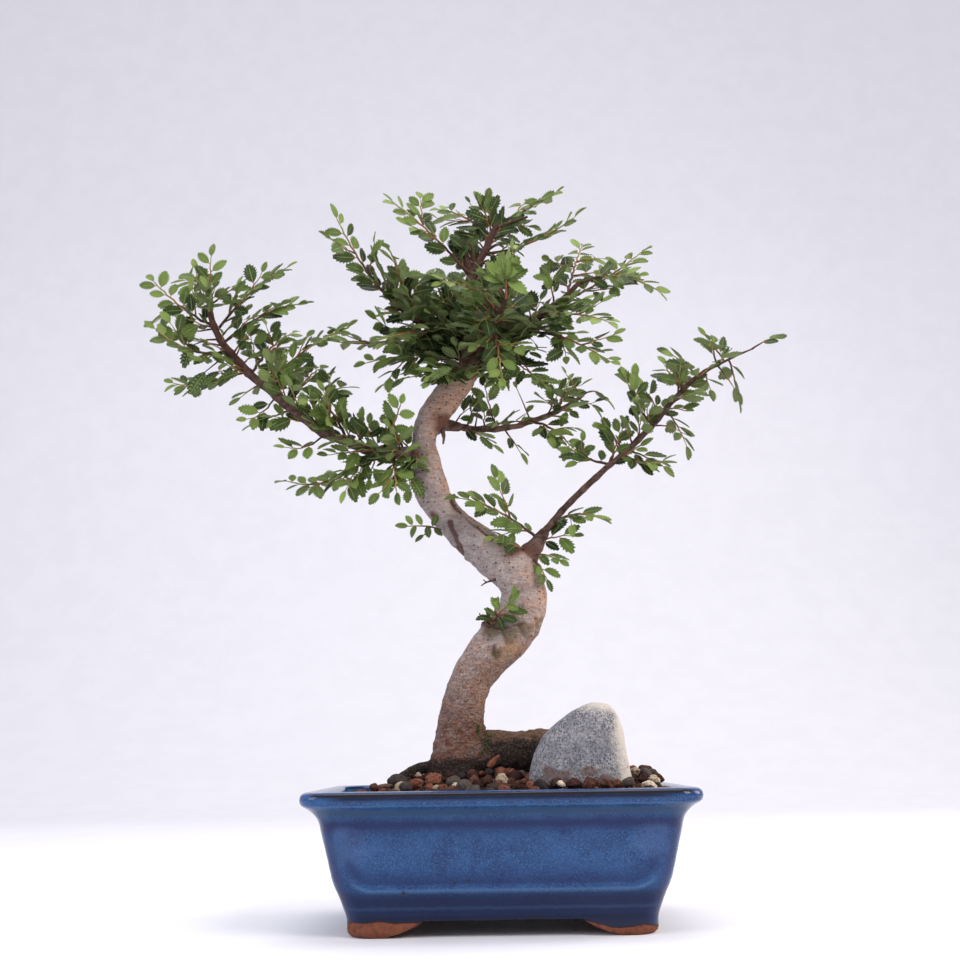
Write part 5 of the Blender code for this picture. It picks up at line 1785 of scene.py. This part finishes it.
@dataclass
class LeafyShoot:
    """A shoot with leaves in two rows and short side shoots."""

    leaf: ToothedLeaf
    # tone: how light the leaves' green may be; low values give painted shade inside the crown
    tone: float = 1.0
    spacing: Numbers = (3.9, 5.6)
    leaf_size: Numbers = (10.2, 14.4)
    stalk: float = 1.0
    stalk_radii: Numbers = (0.34, 0.30, 0.16)
    twig_radius: Numbers = (0.95, 0.36)
    zigzag: float = 0.45
    side_gap: float = 13.0

    def path(self, start: Array, tip: Array, bow: float) -> Array:
        """Points of a shoot that bows upwards by a height."""
        middle = (start + tip) / 2 + (0, 0, 2.0 * bow)
        count = max(5, round(float(np.linalg.norm(tip - start)) / 2.5))
        t = np.linspace(0, 1, count + 1)[:, None]
        return start * (1 - t) ** 2 + middle * 2 * t * (1 - t) + tip * t * t

    def grow(
        self, growth: Growth, path: Array, thick: float, bare: float, age: float, sides: int = 0,
    ) -> None:
        """Grow a shoot along a path.

        Args:
            growth: what it is added to.
            path: the shoot's axis.
            thick: share of the full twig radius at its base.
            bare: length without leaves at its base.
            age: youth of its base, from 0 to 1.
            sides: how many rounds of side shoots it grows.
        """
        rng, length = growth.rng, run_length(path)
        total = length[-1]
        places = []
        place = bare + rng.uniform(0.0, 3.0)
        while place < total - 3.0:
            places.append(place)
            place += rng.uniform(*self.spacing) * (1.05 - 0.3 * place / total)
        along = frames(path)[0]
        outward = unit(path[-1] - path[0])
        forward, upward, aside = rng.uniform(0.2, 0.9), rng.uniform(0.45, 0.9), rng.uniform(-0.4, 0.4)
        facing = np.array((0.25 * outward[0], 0.35 * outward[1] - forward, upward))
        facing = unit(facing + (aside, 0.0, 0.0))
        bent = path.copy()
        for number, place in enumerate(places):
            turn = 1 if number % 2 else -1
            pull = bell(length - place, 2.2)[:, None] * turn * self.zigzag
            bent += pull * unit(np.cross(facing, outward))
        share = length / total
        radii = thick * (self.twig_radius[0] + (self.twig_radius[1] - self.twig_radius[0]) * share**0.8)
        knots = sum((0.22 * bell(length - p, 0.9) for p in places), np.zeros(len(path)))
        young = np.repeat(age + (1.0 - age) * share, TWIG_SIDES)
        growth.twigs.add(*tube(bent, radii * (1.0 + knots), TWIG_SIDES), young=young)
        for number, place in enumerate(places + [total]):
            i = min(int(np.searchsorted(length, place)), len(path) - 1)
            tangent, share_here = along[i], place / total
            last = place == total
            side = 0.0 if last else (1.0 if number % 2 else -1.0)
            sideways = unit(np.cross(facing, tangent))
            normal = unit(np.cross(tangent, sideways))
            angle = side * math.radians(rng.uniform(34, 62))
            direction = tangent * math.cos(angle) + sideways * math.sin(angle)
            direction = unit(direction + normal * rng.uniform(-0.30, 0.34))
            lean = normal + sideways * rng.uniform(-0.55, 0.55) + tangent * rng.uniform(-0.5, 0.3)
            size = rng.uniform(*self.leaf_size) * (1.0 - 0.36 * max(0.0, share_here - 0.5) / 0.5)
            size *= 0.72 if place < bare + 4.0 else 1.0
            fresh = max(0.0, (share_here - 0.35) / 0.65) * rng.uniform(0.35, 1.0)
            youth = min(max(self.tone * (fresh + rng.uniform(-0.1, 0.2)), 0.0), 1.0)
            root = bent[i] + direction * (radii[i] + self.stalk)
            stem = np.array([bent[i], bent[i] + direction * radii[i], root + direction * 0.35 * size])
            growth.twigs.add(*tube(stem, self.stalk_radii, 5), young=0.9)
            # painted shade: leaves nearer the base of a shoot get a darker green
            tone = self.tone * (0.55 + 0.45 * share_here)
            self.leaf.grow(growth, root, direction, lean, size, youth, tone)
        if sides:
            self.branch(growth, bent, length, along, facing, sides)

    def branch(
        self, growth: Growth, path: Array, length: Array, along: Array,
        facing: Array, sides: int,
    ) -> None:
        """Grow short side shoots in the first two thirds of a shoot.

        Args:
            growth: what they are added to.
            path: the main shoot's axis.
            length: distance of each of its points from its base.
            along: its direction at each point.
            facing: the way its leaves look.
            sides: how many rounds of side shoots are left.
        """
        rng, total = growth.rng, length[-1]
        place = rng.uniform(5.0, 12.0)
        turn = rng.choice((-1.0, 1.0))
        while place < 0.66 * total:
            i = int(np.searchsorted(length, place))
            sideways = unit(np.cross(facing, along[i])) * turn
            angle = math.radians(rng.uniform(38, 66))
            direction = along[i] * math.cos(angle) + sideways * math.sin(angle)
            direction = unit(direction + facing * rng.uniform(-0.35, 0.65))
            reach = rng.uniform(13.0, 25.0) * min(1.0, total / 55.0)
            side_path = self.path(path[i], path[i] + direction * reach, rng.uniform(-1.0, 1.6))
            self.grow(growth, side_path, 0.62, 1.8, 0.35, sides - 1)
            place += self.side_gap * rng.uniform(0.7, 1.3)
            turn = -turn


@dataclass
class Foliage:
    """All leafy shoots of the tree."""

    leaf: ToothedLeaf = field(default_factory=ToothedLeaf)
    inner_leaf: ToothedLeaf = field(default_factory=lambda: ToothedLeaf(teeth=6))
    core_leaf: ToothedLeaf = field(
        default_factory=lambda: ToothedLeaf(teeth=6, width=0.62, columns=(-1.0, 0.0, 1.0))
    )
    rosette: Numbers = (8, -60, 353)
    rosette_leaves: Rows = (
        (100, 15, 0.55), (60, 14, 0.6), (140, 14, 0.5), (20, 12.5, 0.5), (178, 12, 0.4),
        (-35, 13.5, 0.45), (215, 11, 0.35), (80, 9, 0.9),
    )
    spurs: tuple[SpurRow, ...] = (
        ("left_branch", 30, 0.02, 1, 13, 24), ("left_branch", 14, 0.02, 1, 13, 26),
        ("left_branch", 9, 0, 0.26, 12, 22), ("right_branch", 26, 0.38, 0.92, 12, 24),
        ("back_branch", 18, 0.1, 1, 12, 24), ("leader", 40, 0, 1, 16, 33),
        ("crown_limb", 19, 0.05, 0.78, 14, 27), ("front_limb", 16, 0.1, 1, 12, 28),
        ("rear_limb", 14, 0.1, 1, 15, 27), ("west_limb", 24, 0.1, 1, 14, 30),
    )
    core: tuple[SpurRow, ...] = (
        ("leader", 28, 0, 0.45, 17, 27), ("crown_limb", 16, 0.02, 0.6, 14, 24),
        ("west_limb", 16, 0, 0.65, 12, 22), ("front_limb", 10, 0.05, 0.8, 10, 20),
        ("rear_limb", 9, 0.05, 0.9, 12, 21), ("leader", 10, 0.45, 0.9, 13, 21),
    )
    extra: tuple[tuple[Numbers, Numbers], ...] = (
        ((-49, -1, 267), (-64.4, -14, 249.5)), ((-52, -1, 267), (-88.5, -10, 255.7)),
        ((-62, -2, 268), (-96.8, -16, 263.5)), ((-46, -1, 267), (-45.5, -18, 258)),
        ((-47, -1, 266), (-50, -16, 243)), ((-54, -1, 268), (-60, -12, 280)),
        ((21, -3, 204), (36, -12, 200)), ((21, -4, 203), (29, -10, 190)), ((20, -4, 205), (6, -15, 209)),
        ((24, -2, 211), (44, -10, 214)), ((-15, -3, 320), (-36, -30, 304)), ((-9, -6, 324), (4, -40, 300)),
        ((2, -4, 330), (29, -38, 299)), ((-12, -4, 322), (-8, -36, 306)), ((-17, -3, 318), (-52, -20, 309)),
    )
    # the first extra shoots keep a light green, the rest get painted shade
    light_extra: int = 10
    accents: Rows = (
        (-180.1, -18, 332.6, 248, 15, 0), (-172.2, -18, 315.4, 240, 16.5, 0),
        (-173.1, -20, 321.5, 172, 8.5, 1), (-24, -30, 311.6, 209, 16, 0.1),
        (9.8, -36, 310, 244, 15, 0.1), (22.5, -34, 306, -48, 13.5, 0.2),
        (24.5, -12, 196.5, -80, 6.5, 1),
    )
    first_seed: int = 100
    rosette_seed: int = 77
    spur_seed: int = 31
    long_spray: float = 30.0
    back_limit: float = 66.0

    def build(self) -> None:
        """Build and dress every spray, the spurs and the rosette."""
        green, brown = LeafSkin().material(), TwigSkin().material()
        groups = {}
        for side, limbs in SPRAYS.items():
            rows = [(limb, *row) for limb, *some in limbs for row in some]
            for number, row in enumerate(rows, 1):
                seed = self.first_seed + len(groups)
                groups[f"{side}_spray_{number:02d}"] = self.spray(row, seed, 1.3 if side == "back" else 1.0)
        self.add_rosette(groups["crown_spray_16"])
        groups.update({name: self.sprout(name) for name in SPROUTS})
        for name, growth in groups.items():
            growth.make(name, green, brown)
        self.build_spurs(green, brown)

    def spray(self, row: tuple[str, float, float, float, float, float], seed: int, tone: float) -> Growth:
        """Grow one spray.

        Args:
            row: its limb, the share of the limb where it starts, x, y and z of its tip, and its bow.
            seed: which draws it takes.
            tone: how light its green may be.

        Returns:
            What it grew into.
        """
        limb, share, *tip, bow = row
        growth = Growth(random.Random(seed))
        shoot = LeafyShoot(self.leaf, tone)
        path = shoot.path(limb_point(limb, share), np.array(tip, float), bow)
        large = float(np.linalg.norm(path[-1] - path[0])) > self.long_spray
        shoot.grow(growth, path, 1.0 if large else 0.7, 4.5, 0.0, 1 if large else 0)
        return growth

    def sprout(self, name: str) -> Growth:
        """Grow one of the small sprouts on the trunk.

        Args:
            name: the sprout's name.

        Returns:
            What it grew into.
        """
        growth = Growth(random.Random(len(name)))
        for stem in SPROUTS[name]:
            centres = smooth_path(stem, 5)
            share = np.linspace(0.2, 1.0, len(centres))
            stem_skin = tube(centres, 0.72 - 0.4 * share, TWIG_SIDES)
            growth.twigs.add(*stem_skin, young=np.repeat(share, TWIG_SIDES))
        for leaf in SPROUT_LEAVES[name]:
            self.lone_leaf(growth, leaf)
        return growth

    def lone_leaf(self, growth: Growth, leaf: Numbers) -> None:
        """Grow one leaf that faces the front.

        Args:
            growth: what it is added to.
            leaf: x, y and z of its root, its direction in degrees, its length and its youth.
        """
        x, y, z, degrees, size, young = leaf
        angle = math.radians(degrees)
        way = np.array((math.cos(angle), -0.25, math.sin(angle)))
        up = np.array((0.35 * math.sin(angle), -1.0, 0.55))
        self.leaf.grow(growth, np.array((x, y, z)), way, up, size, young, 0.35 + 0.6 * young)

    def add_rosette(self, spray: Growth) -> None:
        """Add the wreath of large young leaves at the front of the crown.

        Args:
            spray: what it is added to.
        """
        growth = Growth(random.Random(self.rosette_seed), spray.twigs, spray.leaves)
        heart = np.array(self.rosette, float)
        for degrees, size, young in self.rosette_leaves:
            angle = math.radians(degrees)
            direction = np.array((math.cos(angle), -0.35, math.sin(angle)))
            up = np.array((0.25 * math.cos(angle), -1.0, 0.35))
            self.leaf.grow(growth, heart + unit(direction) * 1.4, direction, up, size, young, 1.0)
        stem = np.array((heart + (0.0, 9.0, -7.0), heart + (0.0, 3.0, -2.5), heart))
        growth.twigs.add(*tube(stem, (0.9, 0.75, 0.5), TWIG_SIDES), young=0.6)

    def build_spurs(self, green: Finish, brown: Finish) -> None:
        """Build short leafy spurs straight on the limbs.

        Args:
            green: the leaves' finish.
            brown: the twigs' finish.
        """
        growth = Growth(random.Random(self.spur_seed))
        for number, (start, tip) in enumerate(self.extra):
            # painted shade: the later extra shoots, the spurs whose longest shoot passes 27 mm and the core
            # leaves get a low tone, so a darker green
            shoot = LeafyShoot(self.inner_leaf, 0.9 if number < self.light_extra else 0.45)
            path = shoot.path(np.array(start, float), np.array(tip, float), 1.5)
            shoot.grow(growth, path, 0.75, 2.5, 0.1)
        for row in self.spurs:
            self.add_spurs(growth, row, LeafyShoot(self.inner_leaf, 0.5 if row[-1] > 27.0 else 0.85))
        centres = np.vstack([smooth_path(limb, 4)[:, :3] for limb in LIMBS.values()])
        for leaf in self.accents:
            self.lone_leaf(growth, leaf)
            root = np.array(leaf[:3])
            near = centres[np.argmin(np.linalg.norm(centres - root, axis=1))]
            stalk = np.array((near, (near + root) / 2 + (0.0, 0.0, 1.5), root))
            growth.twigs.add(*tube(stalk, (0.7, 0.5, 0.3), TWIG_SIDES), young=0.3)
        leaf_piece(growth.leaves, "spur_leaves", green)
        core = Growth(growth.rng, growth.twigs)
        for row in self.core:
            self.add_spurs(core, row, LeafyShoot(self.core_leaf, 0.3, (3.4, 5.0), (12.5, 16.5)))
        leaf_piece(core.leaves, "core_leaves", green)
        settle(growth.twigs.make("spur_twigs", brown), "foliage")

    def add_spurs(self, growth: Growth, row: SpurRow, shoot: LeafyShoot) -> None:
        """Add short shoots along one limb.

        Args:
            growth: what they are added to.
            row: limb, count, first and last share of its length, shortest and longest shoot.
            shoot: how each one grows.
        """
        rng = growth.rng
        limb, count, first, last, short, long = row
        for number in range(count):
            share = first + (last - first) * (number + rng.uniform(0.1, 0.9)) / count
            start = limb_point(limb, share)
            ahead = unit(limb_point(limb, min(1.0, share + 0.06)) - limb_point(limb, share - 0.06))
            loose = unit(np.array((rng.gauss(0, 1), rng.gauss(-0.5, 0.85), rng.gauss(0.3, 0.8))))
            direction = unit(loose - 0.55 * ahead * (loose @ ahead) + 0.35 * ahead)
            end = start + direction * rng.uniform(short, long)
            end[1] = min(end[1], self.back_limit)
            if limb == "leader" and share > 0.38:
                end[1] = max(end[1], -0.5 * end[1] - 2.0)
            path = shoot.path(start, end, rng.uniform(-0.5, 2.0))
            bare = 60.0 if number % 7 == 3 else 3.0
            shoot.grow(growth, path, 0.7, bare, 0.1)


@dataclass
class MossTuft:
    """Fine moss where the trunk rises from the old one."""

    spots: Rows = (
        (-7.5, -10, 104, 3.4, 60), (-7, -12.4, 97, 3, 36), (-9, -12.6, 91, 2.4, 22),
    )
    blade: Numbers = (0.22, 0.17, 0.05)
    seed: int = 12

    def build(self, wood: BVHTree) -> None:
        """Build the tufts.

        Args:
            wood: search tree of the trunk, in metres.
        """
        rng = random.Random(self.seed)
        shape = Shape()
        for x, y, z, reach, count in self.spots:
            for _ in range(count):
                spot = np.array((rng.gauss(x, reach * 0.45), y, rng.gauss(z, reach * 0.5)))
                near, outward, _, _ = wood.find_nearest(Vector((spot + POT_CENTRE) * MM))
                root = np.array(near) / MM - POT_CENTRE
                way = unit(np.array(outward) + (rng.gauss(0, 0.5), rng.gauss(0, 0.3), rng.gauss(0.1, 0.6)))
                reach_out = rng.uniform(0.9, 2.4)
                tip = root + way * reach_out + (0, 0, -0.3 * reach_out)
                centres = np.array((root - way * 0.3, root + way * reach_out * 0.55, tip))
                shape.add(*tube(centres, self.blade, 4))
        finish = PlainSkin("moss", (0.120, 0.140, 0.030), (0.040, 0.055, 0.014), 1.5, 0.05, 0.8)
        settle(shape.make("moss_tuft", finish.material()), "bark")


# Studio


@dataclass
class Studio:
    """Camera, plain floor and soft lights."""

    pitch: float = 13.4
    roll: float = -0.0145
    lens: float = 43.3125
    eye: Numbers = (-8.5, -675.0, 90.0)
    lights: tuple[tuple[str, Colour, float, float, Colour], ...] = (
        ("key", (1.15, -1.05, 1.25), 0.9, 19.0, (1.0, 0.95, 0.89)),
        ("side", (1.5, 0.25, 0.75), 0.8, 10.0, (1.0, 0.91, 0.83)),
        ("fill", (-1.35, -0.8, 0.85), 1.1, 13.0, (0.87, 0.92, 1.0)),
        ("top", (0.0, 0.1, 1.6), 1.2, 11.0, (1.0, 0.98, 0.97)),
    )
    aim: Colour = (0.0, 0.0, 0.2)
    sky: Colour = (0.86, 0.855, 0.93)
    sky_strength: float = 0.76

    def build(self) -> None:
        """Set up the camera, the floor, the lights and the sky."""
        scene = bpy.context.scene
        camera = bpy.data.objects.new("camera", bpy.data.cameras.new("camera"))
        scene.collection.objects.link(camera)
        camera.data.sensor_width = 36.0
        camera.data.lens = self.lens
        camera.data.clip_start = 0.01
        spot = Vector((np.array(self.eye) + POT_CENTRE) * MM)
        turn = Matrix.Rotation(math.radians(90.0 + self.pitch), 4, "X") @ Matrix.Rotation(self.roll, 4, "Z")
        camera.matrix_world = Matrix.Translation(spot) @ turn
        scene.camera = camera
        self.floor()
        for row in self.lights:
            self.light(*row)
        world = bpy.data.worlds.new("sky")
        world.use_nodes = True
        back = world.node_tree.nodes["Background"]
        back.inputs["Color"].default_value = (*self.sky, 1.0)
        back.inputs["Strength"].default_value = self.sky_strength
        scene.world = world
        scene.view_settings.view_transform = "Standard"
        LOG.info("studio ready")

    def light(self, name: str, place: Colour, size: float, power: float, colour: Colour) -> None:
        """Place a soft light that looks at the tree.

        Args:
            name: the light's name.
            place: where it stands, in metres.
            size: its width in metres.
            power: its power in watts.
            colour: its colour.
        """
        lamp = bpy.data.lights.new(name, "AREA")
        lamp.shape = "DISK"
        lamp.size, lamp.energy, lamp.color = size, power, colour
        made = bpy.data.objects.new(name, lamp)
        bpy.context.scene.collection.objects.link(made)
        made.location = place
        made.rotation_euler = (Vector(self.aim) - Vector(place)).to_track_quat("-Z", "Y").to_euler()

    def floor(self) -> None:
        """Lay the pale floor, which sweeps up far behind the pot."""
        angle = np.linspace(0, math.pi / 2, 24)
        run = np.concatenate([[-3000.0, 1200.0], 1200.0 + 900.0 * np.sin(angle[1:]), [2100.0]])
        rise = np.concatenate([[0.0, 0.0], 900.0 * (1 - np.cos(angle[1:])), [4000.0]])
        columns = np.linspace(-4000.0, 4000.0, 9)
        points = np.array([(x, y, z) for y, z in zip(run, rise) for x in columns])
        shape = Shape()
        shape.add(points, [skin(len(run), len(columns), closed=False)])
        finish = PlainSkin("pale_floor", (0.83, 0.825, 0.86), (0.81, 0.805, 0.84), 60.0, 0.0, 0.75)
        shape.make("floor", finish.material())


def tree_of(piece: Piece) -> BVHTree:
    """A search tree of a piece's skin, in metres."""
    faces = [tuple(face.vertices) for face in piece.data.polygons]
    return BVHTree.FromPolygons([point.co for point in piece.data.vertices], faces)


def main() -> None:
    """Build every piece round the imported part."""
    logging.basicConfig(level=logging.INFO, format="%(message)s")
    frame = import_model()
    Studio().build()
    GlazedPot().build()
    stone = GreyStone().build()
    wood = ElmWood()
    bark = Bark().material()
    trunk = wood.build_trunk(bark)
    wood.build_limbs(bark)
    search = tree_of(trunk)
    SoilBed().build([search, tree_of(stone)])
    MossTuft().build(search)
    Foliage().build()
    finish = PlainSkin("drain_plastic", (0.030, 0.030, 0.032), (0.014, 0.014, 0.016), 2.0, 0.05, 0.5)
    plastic = finish.material()
    for name in ("drain_mesh_left", "drain_mesh_right"):
        square = frame["nodes"][name]
        square.data.materials.clear()
        square.data.materials.append(plastic)


if __name__ == "__main__":
    main()
